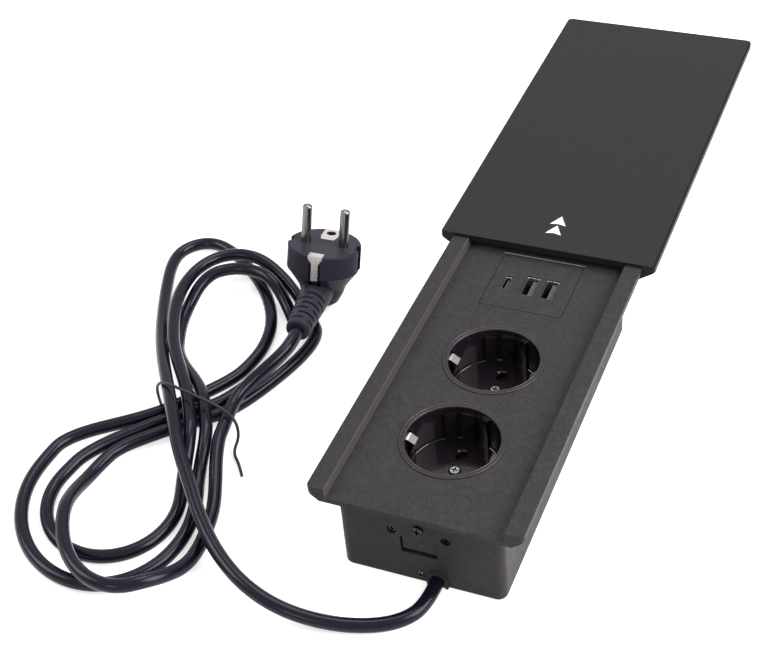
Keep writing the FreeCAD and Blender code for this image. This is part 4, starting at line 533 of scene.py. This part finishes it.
def gloss_finish(name, base, roughness, coat, coat_roughness, ripple=0.00003, shine=0.45,
                 tint=(1.0, 0.95, 1.0)):
    """Polished or soft glossy plastic with faint ripples, dust specks, hairlines and a clear coat."""
    material, tree, shader, place = start_material(name)
    moulding = use_group(tree, "grain", Vector=place, Size=0.0016)
    marks = use_group(tree, "handling", Vector=place, Turn=1.1)
    dusty = masked(tree, moulding.outputs["Specks"], 0.10, base, shade(base, 1.0, 0.035))
    dusty = masked(tree, marks.outputs["Scratches"], 0.10, dusty, shade(base, 1.0, 0.06))
    rough = vary(tree, moulding.outputs["Patches"], roughness, 0.12)
    set_shader(tree, shader, {"Base Color": dusty, "Roughness": rough, "Specular IOR Level": shine,
                              "Specular Tint": (*tint, 1.0), "Coat Weight": coat,
                              "Coat Roughness": coat_roughness})
    add_bump(tree, shader, moulding.outputs["Height"], ripple, 0.6)
    return material


def metal_finish(name, base, roughness, stretch, dull=0.35):
    """Metal with a dull bloom, and fine lines along the axis whose factor in stretch is the smallest."""
    material, tree, shader, place = start_material(name)
    rolled = use_group(tree, "metal", Vector=place, Stretch=stretch)
    marks = use_group(tree, "handling", Vector=place, Turn=0.9)
    bloomed = masked(tree, rolled.outputs["Bloom"], dull, base, shade(base, 0.62))
    rough = vary(tree, rolled.outputs["Lines"], roughness, 0.18)
    rough = maths(tree, "MULTIPLY_ADD", marks.outputs["Rubbed"], 0.08, rough)
    set_shader(tree, shader, {"Base Color": bloomed, "Roughness": rough, "Metallic": 1.0})
    add_bump(tree, shader, rolled.outputs["Lines"], 0.00001, 0.5)
    return material


def place_parts(material):
    """A finish's node tree, and in it the place on the object as x, y and z."""
    tree = material.node_tree
    parts = node(tree, "ShaderNodeSeparateXYZ", i0=tree.nodes["Texture Coordinate"].outputs["Object"])
    return tree, parts.outputs


def paint_light_over(tree, mask, second):
    """Lays painted light or shade over the colours that a finish has, where the mask is 1."""
    colour_in = tree.nodes["Principled BSDF"].inputs["Base Color"]
    tree.links.new(blend_colours(tree, mask, colour_in.links[0].from_socket, second), colour_in)


def port_painted_light_finish(name, dark, painted_highlight_steel, start):
    """Sheet metal with painted shade inside the port and a painted highlight beyond a place along Y, at
    its rear end.
    """
    material = metal_finish(name, dark, 0.34, (0.04, 1.0, 1.0))
    tree, parts = place_parts(material)
    paint_light_over(tree, ramp(tree, parts[1], start - SOFT_EDGE, start + SOFT_EDGE), painted_highlight_steel)
    return material


def paint_edge_shade(material, start, height):
    """Darkens a finish where it lies beyond a place along X and above a height: painted shade along an
    edge.
    """
    tree, parts = place_parts(material)
    beyond = ramp(tree, parts[0], start - 2 * SOFT_EDGE, start + 2 * SOFT_EDGE)
    above = ramp(tree, parts[2], height - SOFT_EDGE, height + SOFT_EDGE, 0.0, 0.8)
    paint_light_over(tree, maths(tree, "MULTIPLY", beyond, above), (0.002, 0.002, 0.002))


def paint_wall_highlight(material, middle, pale):
    """Paints a highlight over a finish on a thin upright wall at one place along X."""
    tree, parts = place_parts(material)
    away = maths(tree, "ABSOLUTE", maths(tree, "SUBTRACT", parts[0], middle))
    paint_light_over(tree, ramp(tree, away, WALL_HIGHLIGHT, WALL_HIGHLIGHT_FADE, 0.9, 0.0), pale)


def banded_finish(name, base, second, axis, pitch, width, roughness):
    """Plastic with bands across one axis: layers of tape, or copper lines under the board's mask."""
    material, tree, shader, place = start_material(name)
    moulding = use_group(tree, "grain", Vector=place, Size=0.0005)
    along = node(tree, "ShaderNodeSeparateXYZ", i0=place).outputs[axis]
    wobble = maths(tree, "MULTIPLY", moulding.outputs["Patches"], 0.0004)
    wave = maths(tree, "PINGPONG", maths(tree, "ADD", along, wobble), pitch)
    band = ramp(tree, wave, width, width * 1.25, 1.0, 0.0)
    set_shader(tree, shader, {"Base Color": blend_colours(tree, band, base, second),
                              "Roughness": vary(tree, moulding.outputs["Patches"], roughness, 0.2)})
    add_bump(tree, shader, band, 0.00004)
    return material


def dress(material, *names):
    """Gives a finish to CAD nodes by their material slots."""
    for name in names:
        for slot in frame["nodes"][name].material_slots:
            slot.material = material


# Cord

# The lead from the housing to the hank, millimetres.
LEAD_POINTS = (
    (6.5, -90.4, 3.1), (6.5, -104.0, 3.1), (0.4, -114.0, 3.1), (-11.0, -121.0, 3.4), (-27.0, -125.8, 4.6),
    (-46.5, -127.2, 7.2), (-65.5, -122.2, 9.6), (-83.0, -111.2, 11.4), (-98.0, -96.8, 12.8),
    (-111.0, -80.8, 14.4), (-124.2, -65.4, 15.8), (-136.0, -47.8, 16.4), (-148.5, -29.5, 15.0),
    (-163.0, -9.0, 11.4), (-175.8, 11.5, 6.8), (-186.0, 31.5, 3.8), (-194.2, 50.5, 3.1),
    (-200.0, 66.5, 3.1), (-201.2, 78.0, 3.2), (-196.5, 87.0, 3.1), (-187.5, 91.0, 3.2),
    (-177.0, 88.5, 3.1), (-165.0, 81.0, 3.2), (-151.5, 70.0, 3.1), (-138.0, 55.5, 3.2),
    (-128.5, 38.5, 3.1), (-125.0, 22.0, 3.2), (-126.2, 8.5, 3.1), (-129.4, -3.2, 3.1),
)
# The tail from the hank into the plug's sleeve, millimetres.
TAIL_POINTS = (
    (-117.83, -24.80, 10.1), (-116.8, -15.1, 11.6), (-105.6, 4.5, 18.2), (-104.4, 14.0, 19.2),
    (-105.3, 21.3, 18.6),
)
TIE_POINTS = (
    (-156.5, -27.0, 0.9), (-156.8, -27.6, 9.0), (-153.6, -29.6, 17.0), (-147.0, -31.8, 20.8),
    (-138.5, -33.2, 19.8), (-129.5, -34.0, 18.2), (-119.5, -35.2, 16.6), (-110.6, -37.2, 13.6),
    (-107.4, -40.6, 6.6), (-108.6, -46.8, 1.4), (-103.0, -52.0, 0.9), (-98.5, -58.5, 0.9),
)
# The hank's loops: middle x and y, half length, half width, tilt in degrees.
LOOPS = {
    "A": (-147.0, -92.5, 48.0, 38.5, 123.0),
    "F": (-143.0, 28.0, 39.5, 28.0, 121.0),
    "B": (-145.0, -91.5, 32.5, 29.5, 122.0),
    "E": (-136.0, 24.0, 58.5, 33.5, 124.5),
    "C": (-129.5, -96.0, 47.5, 31.0, 110.5),
}
# Angle round a loop, and 0 for the floor or 1 for a layer up.
CLIMBS = {
    "A": ((0, 0), (300, 0)),
    "B": ((0, 0), (300, 0)),
    "F": ((80, 0), (62, 0), (15, 1), (-45, 1), (-80, 0)),
    "E": ((80, 1), (-20, 1), (-75, 0)),
    "C": ((55, 0), (98, 1), (195, 1), (240, 0)),
}
# The height of the cord's middle line on the floor, the step between strands at the waist, a layer's rise.
CORD_REST = 3.1
STEP = 7.0
LAYER = 1.35 * STEP
# Where strands cross the waist: x, y, heading in degrees, and the place in the row that lies there.
WAIST_UP = (-129.0, -39.0, 120.5, 1.5)
WAIST_DOWN = (-139.0, -30.5, 221.5, -1.0)
HANK_START = (-140.0, -30.0, 230.0, -1.0)
HANK_END = (-115.5, -38.0, 100.0, 1.5)
# Each round: its loops before and after the waist, its places in the rows there, up and down, its rise.
ORDER = (("A", "F", 2, -1, 1.15 * STEP), ("B", "E", 1, -2, 1.05 * LAYER), ("C", "", 1.5, 0, STEP))
# Angles at which a loop has its points.
LOWER_TURN = np.linspace(45, 260, 15)
UPPER_TURN = np.linspace(80, -80, 11)
# The hank's two ends reach this far past the waist.
HANK_REACH = 6.2
# The smooth line runs a little inside its points, so a loop's points stand out by this share.
STAND_OUT = 1.0086
# How far along a run between a loop and the waist the cord keeps each end's direction.
KEEP = 0.25


def climb(turn, rows, sense):
    """Height share at each angle: half a cosine wave from one row of the table to the next."""
    rows = np.array(rows, float)
    at = np.asarray(turn, float) * sense
    starts = rows[:, 0] * sense
    i = np.clip(np.searchsorted(starts, at) - 1, 0, len(rows) - 2)
    part = np.clip((at - starts[i]) / (starts[i + 1] - starts[i]), 0, 1)
    return rows[i, 1] + (rows[i + 1, 1] - rows[i, 1]) * (1 - np.cos(np.pi * part)) / 2


def loop_points(name, turn, sense):
    """Points on a tilted ellipse: middle + half length cos along + half width sin across, and a climb."""
    x, y, half_length, half_width, tilt = LOOPS[name]
    a = np.radians(turn)
    t = math.radians(tilt)
    along = half_length * STAND_OUT * np.cos(a)
    across = half_width * STAND_OUT * np.sin(a)
    z = CORD_REST + LAYER * climb(turn, CLIMBS[name], sense)
    return np.stack([x + along * math.cos(t) - across * math.sin(t),
                     y + along * math.sin(t) + across * math.cos(t), z], axis=1)


def loop_way(name, turn, sense):
    """The direction of the cord on a loop at one angle."""
    before, after = loop_points(name, np.array([turn - 0.5 * sense, turn + 0.5 * sense]), sense)
    return (after - before) / np.linalg.norm(after - before)


def waist_place(waist, slot, z):
    """Place and direction of one strand at the waist, a step from its neighbour."""
    x, y, heading, middle = waist
    a = math.radians(heading)
    aside = (slot - middle) * STEP
    return (np.array([x + math.sin(a) * aside, y - math.cos(a) * aside, z]),
            np.array([math.cos(a), math.sin(a), 0.0]))


def between(start, way, end, end_way):
    """Two turning points: each lies a share of the run along its own end's direction."""
    reach = KEEP * np.linalg.norm(end - start)
    return np.array([start + way * reach, end - end_way * reach])


def hank_points():
    """The hank's points: the loops in their order, joined through the waist."""
    at, way = waist_place(HANK_START, 0, CORD_REST)
    rows = [[at - way * HANK_REACH]]
    for lower, upper, slot_up, slot_down, rise in ORDER:
        turns = ((lower, LOWER_TURN, 1), (upper, UPPER_TURN, -1))[:2 if upper else 1]
        for name, turn, sense in turns:
            loop = loop_points(name, turn, sense)
            rows += [[at], between(at, way, loop[0], loop_way(name, turn[0], sense)), loop]
            if sense > 0:
                waist = WAIST_UP if upper else HANK_END
                place, ahead = waist_place(waist, slot_up, CORD_REST + rise)
            else:
                place, ahead = waist_place(WAIST_DOWN, slot_down, CORD_REST)
            rows.append(between(loop[-1], loop_way(name, turn[-1], sense), place, ahead))
            at, way = place, ahead
    rows.append([at, at + way * HANK_REACH])
    return np.vstack(rows)


def smooth_curve(name, points, thickness, fineness):
    """A round curve whose one smooth spline is steered by the points, given in millimetres."""
    data = bpy.data.curves.new(name, "CURVE")
    data.dimensions = "3D"
    spline = data.splines.new("NURBS")
    spline.points.add(len(points) - 1)
    flat = np.hstack([np.asarray(points) * MM, np.ones((len(points), 1))])
    spline.points.foreach_set("co", flat.ravel())
    spline.order_u = 3
    spline.use_endpoint_u = True
    spline.resolution_u = fineness
    data.bevel_depth = thickness / 2
    data.bevel_resolution = 7
    data.use_fill_caps = True
    return data


def line_length(data):
    """The length of a curve's middle line."""
    bare = data.copy()
    bare.bevel_depth = 0.0
    holder = bpy.data.objects.new("measure", bare)
    mesh = bpy.data.meshes.new_from_object(holder)
    line = np.empty(len(mesh.vertices) * 3)
    mesh.vertices.foreach_get("co", line)
    bpy.data.objects.remove(holder)
    bpy.data.meshes.remove(mesh)
    bpy.data.curves.remove(bare)
    return float(np.linalg.norm(np.diff(line.reshape(-1, 3), axis=0), axis=1).sum())


# Stage

def lay_floor(scene, paleness):
    """A level floor that glows a little where it is seen directly, so that it looks white."""
    span = np.linspace(-FLOOR_REACH, FLOOR_REACH, 9)
    x, y = np.meshgrid(span, span, indexing="ij")
    floor = bpy.data.objects.new("floor", grid_mesh("floor", np.stack([x, y, x * 0.0], axis=-1)))
    scene.collection.objects.link(floor)
    material, tree, shader, place = start_material("floor_white")
    cloudy = noise(tree, place, Scale=3.0, Detail=2.0)
    pale = (paleness,) * 3
    set_shader(tree, shader, {"Base Color": masked(tree, cloudy, 0.04, pale, shade(pale, 0.94)),
                              "Roughness": 0.9, "Specular IOR Level": 0.1})
    # Far out, where the lamps no longer reach, the floor glows more.
    away = node(tree, "ShaderNodeVectorMath", operation="LENGTH", i0=place)
    own_light = ramp(tree, away.outputs["Value"], *GLOW_DISTANCES, *GLOWS)
    glow = node(tree, "ShaderNodeEmission", Color=(1.0, 1.0, 1.0, 1.0),
                Strength=maths(tree, "MULTIPLY", seen_directly(tree), own_light))
    both = tree.nodes.new("ShaderNodeAddShader")
    tree.links.new(shader.outputs[0], both.inputs[0])
    tree.links.new(glow.outputs[0], both.inputs[1])
    tree.links.new(both.outputs[0], tree.nodes["Material Output"].inputs["Surface"])
    floor.data.materials.append(material)


def light_world(scene, fill_light):
    """A surrounding that looks white where it is seen directly and lights the object only faintly."""
    world = bpy.data.worlds.new("studio")
    scene.world = world
    world.use_nodes = True
    tree = world.node_tree
    tree.nodes.clear()
    strength = maths(tree, "MULTIPLY_ADD", seen_directly(tree), 1.0 - fill_light, fill_light)
    back = node(tree, "ShaderNodeBackground", Color=(1.0, 1.0, 1.0, 1.0), Strength=strength)
    out = tree.nodes.new("ShaderNodeOutputWorld")
    tree.links.new(back.outputs[0], out.inputs["Surface"])


def hang_lamp(scene, name, place, aim, width, power):
    """A square lamp that faces the point that it aims at."""
    data = bpy.data.lights.new(name, "AREA")
    data.shape = "SQUARE"
    data.size = width
    data.energy = power
    lamp = bpy.data.objects.new(name, data)
    back = np.array(place) - np.array(aim)
    back /= np.linalg.norm(back)
    right = np.cross((0.0, 0.0, 1.0), back)
    right /= np.linalg.norm(right)
    lamp.matrix_world = placed(right, np.cross(back, right), back, place)
    scene.collection.objects.link(lamp)


# Operators

class MakeCamera(bpy.types.Operator):
    """Stand the camera at the photograph's viewing angle"""
    bl_idname = "desk_socket.make_camera"
    bl_label = "Camera"

    def execute(self, context):
        stage = context.scene.desk_socket_stage
        az, el, roll = stage.azimuth, stage.elevation, stage.roll
        back = np.array([math.sin(az) * math.cos(el), -math.cos(az) * math.cos(el), math.sin(el)])
        right = np.cross(-back, (0.0, 0.0, 1.0))
        right /= np.linalg.norm(right)
        up = np.cross(right, -back)
        turned_right = math.cos(roll) * right + math.sin(roll) * up
        turned_up = math.cos(roll) * up - math.sin(roll) * right
        data = bpy.data.cameras.new("photo_camera")
        data.sensor_fit = "HORIZONTAL"
        data.sensor_width = SENSOR_WIDTH
        data.lens = stage.lens
        data.clip_start = NEAREST_SEEN
        camera = bpy.data.objects.new("photo_camera", data)
        place = np.array(stage.target) + stage.distance * back
        camera.matrix_world = placed(turned_right, turned_up, back, place)
        context.scene.collection.objects.link(camera)
        context.scene.camera = camera
        return {"FINISHED"}


class MakeCord(bpy.types.Operator):
    """Lay the mains cord with its hank, and the tie round it"""
    bl_idname = "desk_socket.make_cord"
    bl_label = "Cord and tie"

    def execute(self, context):
        cord = context.scene.desk_socket_cord
        jacket = gloss_finish("cord_jacket_soft_gloss", cord.jacket, roughness=0.19, coat=0.0,
                              coat_roughness=0.2, ripple=0.00006, shine=0.21, tint=(0.92, 0.86, 1.0))
        points = np.vstack([LEAD_POINTS, hank_points(), TAIL_POINTS])
        data = smooth_curve("mains_cord", points, cord.diameter, fineness=10)
        piece = add_piece("mains_cord", data, jacket, body_of("cord_lead"), "cord_jacket",
                          "cord_lead", "cord_hank", "cord_tail")
        line_length(data)
        band = moulded_finish("tie_satin_plastic", cord.tie, roughness=0.45, grain=0.0006, depth=0.00002,
                              specks=0.1, shine=0.4)
        data = smooth_curve("tie_band", TIE_POINTS, cord.tie_diameter, fineness=8)
        piece = add_piece("tie_band", data, band, body_of("cord_tie"), "tie_plastic", "cord_tie")
        line_length(data)
        dress(jacket, "cord_gland")
        return {"FINISHED"}


class DressCase(bpy.types.Operator):
    """Give the housing, frame, cover and charging insert their moulded plastic"""
    bl_idname = "desk_socket.dress_case"
    bl_label = "Housing, frame and cover"

    def execute(self, context):
        case = context.scene.desk_socket_case
        dress(moulded_finish("housing_moulded", case.housing, roughness=0.52, grain=case.grain * 1.1,
                             depth=case.grain_depth, specks=0.30, shine=0.09), "housing")
        panel, insert = [
            moulded_finish(name, case.panel, roughness=0.50, grain=case.grain,
                           depth=case.grain_depth * 1.1, specks=0.30, shine=0.09, swirl=0.45)
            for name in ("panel_grained", "insert_grained")]
        # A painted highlight on the recess's left wall, three times as pale as the panel.
        paint_wall_highlight(panel, -LEFT_WALL, shade(case.panel, 3.0))
        dress(panel, "top_frame")
        dress(insert, "usb_face")
        smooth = moulded_finish("cover_smooth", case.cover, roughness=0.46, grain=case.grain * 0.8,
                                depth=case.grain_depth * 0.5, specks=0.20, shine=0.09, scratches=0.08,
                                swirl=0.12)
        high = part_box("sliding_cover")[1]
        # Painted shade along the cover's right edge.
        paint_edge_shade(smooth, high[0] - EDGE_SHADE_WIDTH, high[2] - EDGE_SHADE_HEIGHT)
        dress(smooth, "sliding_cover")
        return {"FINISHED"}


class MakeArrows(bpy.types.Operator):
    """Fill the two direction arrows sunk in the cover with paint"""
    bl_idname = "desk_socket.make_arrows"
    bl_label = "Direction arrows"

    def execute(self, context):
        case = context.scene.desk_socket_case
        low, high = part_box("sliding_cover")
        paint = moulded_finish("arrow_paint", case.arrows, roughness=0.5, grain=0.0005, depth=0.00001,
                               specks=0.05, shine=0.3)
        for name, start in zip(("cover_arrow_front", "cover_arrow_rear"), ARROW_STARTS):
            data = grid_mesh(name, arrow_points(start, low[1], high[2] - PAINT_DEPTH))
            piece = add_piece(name, data, paint, body_of("sliding_cover"), "cover_plastic")
            solid = piece.modifiers.new("thickness", "SOLIDIFY")
            solid.thickness = PAINT_THICKNESS
        return {"FINISHED"}


class DressSockets(bpy.types.Operator):
    """Give the wells, shutters, earth clips and what lies under them their finishes"""
    bl_idname = "desk_socket.dress_sockets"
    bl_label = "Sockets"

    def execute(self, context):
        case = context.scene.desk_socket_case
        metal = context.scene.desk_socket_metal
        glossy = well_finish("well_gloss", case.well, case.panel, LIP_FOOT)
        dress(glossy, "front_socket_well", "rear_socket_well")
        dress(moulded_finish("shutter_satin", case.well, roughness=0.38, grain=0.0006, depth=0.00002,
                             specks=0.15, shine=0.4), "front_shutter", "rear_shutter")
        dress(metal_finish("clip_nickel", metal.nickel, 0.22, (1.0, 1.0, 0.05)),
              "front_earth_clip", "rear_earth_clip")
        dress(metal_finish("bar_brass", metal.brass, 0.28, (1.0, 0.03, 1.0)),
              "live_bus_bar", "neutral_bus_bar", "earth_bus_bar")
        dress(moulded_finish("carrier_moulded", INSIDE["carrier"], roughness=0.5, grain=0.0005,
                             depth=0.00004, specks=0.25, shine=0.35), "contact_carrier", "cord_clamp")
        return {"FINISHED"}


class MakeSprings(bpy.types.Operator):
    """Wind the springs behind the shutters"""
    bl_idname = "desk_socket.make_springs"
    bl_label = "Shutter springs"

    def execute(self, context):
        metal = context.scene.desk_socket_metal
        wire = metal_finish("spring_wire", metal.steel, 0.25, (0.05, 1.0, 1.0))
        for place in ("front", "rear"):
            node_name = place + "_shutter_spring"
            low, high = np.array(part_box(node_name))
            data = grid_mesh(place + "_spring_coil", coil_points(low, high), closed_v=True)
            piece = add_piece(place + "_spring_coil", data, wire, body_of(node_name), "spring_steel",
                              node_name)
            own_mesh(piece)
        return {"FINISHED"}


class MakeLipBeads(bpy.types.Operator):
    """Lay two thin beads round each well's lip"""
    bl_idname = "desk_socket.make_lip_beads"
    bl_label = "Lip beads"

    def execute(self, context):
        case = context.scene.desk_socket_case
        beads = moulded_finish("bead_satin", case.panel, roughness=0.26, grain=case.grain,
                               depth=case.grain_depth * 0.4, specks=0.2, shine=0.5)
        for place in ("front", "rear"):
            low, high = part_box(place + "_socket_well")
            x, y = (low[0] + high[0]) / 2 / MM, (low[1] + high[1]) / 2 / MM
            height = high[2] / MM - BEAD_SINK
            data = joined_mesh(place + "_well_beads",
                               [bead_ring(radius, height, x, y) for radius in BEAD_RADII])
            add_piece(place + "_well_beads", data, beads, body_of(place + "_socket_well"), "well_plastic")
        return {"FINISHED"}


class DressCharging(bpy.types.Operator):
    """Give the charging ports and their board their finishes"""
    bl_idname = "desk_socket.dress_charging"
    bl_label = "Charging insert"

    def execute(self, context):
        steel = context.scene.desk_socket_metal.steel
        for name in ("usb_a_shells", "usb_c_shell"):
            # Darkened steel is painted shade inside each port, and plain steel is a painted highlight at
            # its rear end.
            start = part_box(name)[1][1] - PORT_PAINTED_HIGHLIGHT
            dress(port_painted_light_finish(name + "_sheet", shade(steel, 0.25), steel, start), name)
        dress(moulded_finish("tongue_satin", INSIDE["tongues"], roughness=0.4, grain=0.0004,
                             depth=0.00002, specks=0.2, shine=0.4), "usb_tongues")
        dress(banded_finish("board_mask", INSIDE["board"], INSIDE["board_lines"], axis=0, pitch=0.0016,
                            width=0.00035, roughness=0.35), "usb_board")
        dress(banded_finish("transformer_tape", INSIDE["tape"], INSIDE["tape_edges"], axis=2,
                            pitch=0.0024, width=0.0002, roughness=0.4), "usb_transformer")
        dress(gloss_finish("capacitor_sleeve", INSIDE["capacitors"], 0.25, coat=0.5, coat_roughness=0.1),
              "usb_capacitors")
        dress(moulded_finish("chip_epoxy", INSIDE["chip"], roughness=0.55, grain=0.0003, depth=0.00003,
                             specks=0.3, shine=0.3), "usb_chip")
        for name in ("usb_wires", "live_wire", "neutral_wire", "earth_wire"):
            dress(gloss_finish(name + "_sleeve", INSIDE[name], 0.3, coat=0.3, coat_roughness=0.15), name)
        return {"FINISHED"}


class MakeInsertBead(bpy.types.Operator):
    """Lay a thin bead along the charging insert's rear edge"""
    bl_idname = "desk_socket.make_insert_bead"
    bl_label = "Insert bead"

    def execute(self, context):
        case = context.scene.desk_socket_case
        low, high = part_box("usb_face")
        # A straight bead along x, half a circle in section: y + size cos turn, z + size sin turn.
        x, turn = np.meshgrid(np.linspace(low[0] + INSERT_BEAD_END, high[0] - INSERT_BEAD_END, 60),
                              np.linspace(0, np.pi, 9), indexing="ij")
        points = np.stack([x, high[1] - INSERT_BEAD + INSERT_BEAD * np.cos(turn),
                           high[2] - INSERT_BEAD_SINK + INSERT_BEAD * np.sin(turn)], axis=-1)
        # The bead's colour, six times as pale as the panel, is a painted highlight along the insert's rear
        # edge.
        pale = moulded_finish("insert_bead_painted_highlight", shade(case.panel, 6.0), roughness=0.35,
                              grain=case.grain, depth=case.grain_depth * 0.4, specks=0.3, shine=0.3)
        add_piece("insert_bead", grid_mesh("insert_bead", points), pale, body_of("usb_face"),
                  "insert_plastic")
        return {"FINISHED"}


class DressScrews(bpy.types.Operator):
    """Give every screw its zinc plating"""
    bl_idname = "desk_socket.dress_screws"
    bl_label = "Screws"

    def execute(self, context):
        steel = context.scene.desk_socket_metal.steel
        even = (1.0, 1.0, 1.0)
        dress(metal_finish("screw_zinc", steel, 0.30, even, dull=0.5),
              "frame_screws", "carrier_screws", "usb_board_screws", "cord_clamp_screws")
        # Steel darkened to 0.12: the middle screw is black, and on the side and outlet screws the darkness
        # is painted shade of the holes they sit in.
        dress(metal_finish("wall_screw_dark_zinc_and_painted_shade", shade(steel, 0.12), 0.20, even, dull=0.5),
              "end_wall_screws", "cord_outlet_screw")
        dress(metal_finish("well_screw_zinc", shade(steel, 0.55), 0.24, even, dull=0.5), "well_screws")
        return {"FINISHED"}


class DressPlug(bpy.types.Operator):
    """Give the plug's body, strain relief, pins and earth contacts their finishes"""
    bl_idname = "desk_socket.dress_plug"
    bl_label = "Plug"

    def execute(self, context):
        base = context.scene.desk_socket_cord.plug
        nickel = context.scene.desk_socket_metal.nickel
        soft = {"coat": 0.0, "coat_roughness": 0.2, "ripple": 0.00005, "tint": (0.95, 0.92, 1.0)}
        dress(gloss_finish("plug_soft_gloss", base, 0.36, shine=0.08, **soft), "plug_body")
        dress(gloss_finish("relief_soft_gloss", shade(base, 1.2), 0.42, shine=0.12, **soft),
              "plug_strain_relief")
        upright = (1.0, 1.0, 0.04)
        dress(metal_finish("pin_nickel", shade(nickel, 0.5), 0.22, upright, dull=0.25), "plug_pins")
        # Nickel nearly twice as pale as the setting: a painted highlight on the earth contacts.
        dress(metal_finish("contact_nickel_painted_highlight", shade(nickel, 1.9), 0.24, upright, dull=0.15),
              "plug_earth_contacts")
        return {"FINISHED"}


class MakeStage(bpy.types.Operator):
    """Set out the white floor and the studio light"""
    bl_idname = "desk_socket.make_stage"
    bl_label = "Stage and light"

    def execute(self, context):
        stage = context.scene.desk_socket_stage
        context.scene.view_settings.view_transform = "Standard"
        lay_floor(context.scene, stage.floor)
        light_world(context.scene, stage.fill)
        for lamp in LAMPS:
            hang_lamp(context.scene, *lamp)
        return {"FINISHED"}


class DeskSocketPanel(bpy.types.Panel):
    """Lists the socket's operators and settings in the sidebar"""
    bl_idname = "VIEW3D_PT_desk_socket"
    bl_label = "Desk socket"
    bl_space_type = "VIEW_3D"
    bl_region_type = "UI"
    bl_category = "Desk socket"

    def draw(self, context):
        for settings in ("case", "cord", "metal", "stage"):
            group = getattr(context.scene, "desk_socket_" + settings)
            column = self.layout.column(heading=settings.title())
            for key in group.__annotations__:
                column.prop(group, key)
        for operator in OPERATORS:
            self.layout.operator(operator.bl_idname)


SETTINGS = {"case": CaseSettings, "cord": CordSettings, "metal": MetalSettings, "stage": StageSettings}
OPERATORS = (MakeCamera, MakeCord, DressCase, MakeArrows, DressSockets, MakeSprings, MakeLipBeads,
             DressCharging, MakeInsertBead, DressScrews, DressPlug, MakeStage)


def register():
    for settings in SETTINGS.values():
        bpy.utils.register_class(settings)
    for operator in OPERATORS:
        bpy.utils.register_class(operator)
    bpy.utils.register_class(DeskSocketPanel)
    for name, settings in SETTINGS.items():
        setattr(bpy.types.Scene, "desk_socket_" + name, bpy.props.PointerProperty(type=settings))


def unregister():
    for name in SETTINGS:
        delattr(bpy.types.Scene, "desk_socket_" + name)
    bpy.utils.unregister_class(DeskSocketPanel)
    for operator in reversed(OPERATORS):
        bpy.utils.unregister_class(operator)
    for settings in reversed(list(SETTINGS.values())):
        bpy.utils.unregister_class(settings)


def main():
    register()
    for operator in OPERATORS:
        group, name = operator.bl_idname.split(".")
        getattr(getattr(bpy.ops, group), name)()


if __name__ == "__main__":
    main()
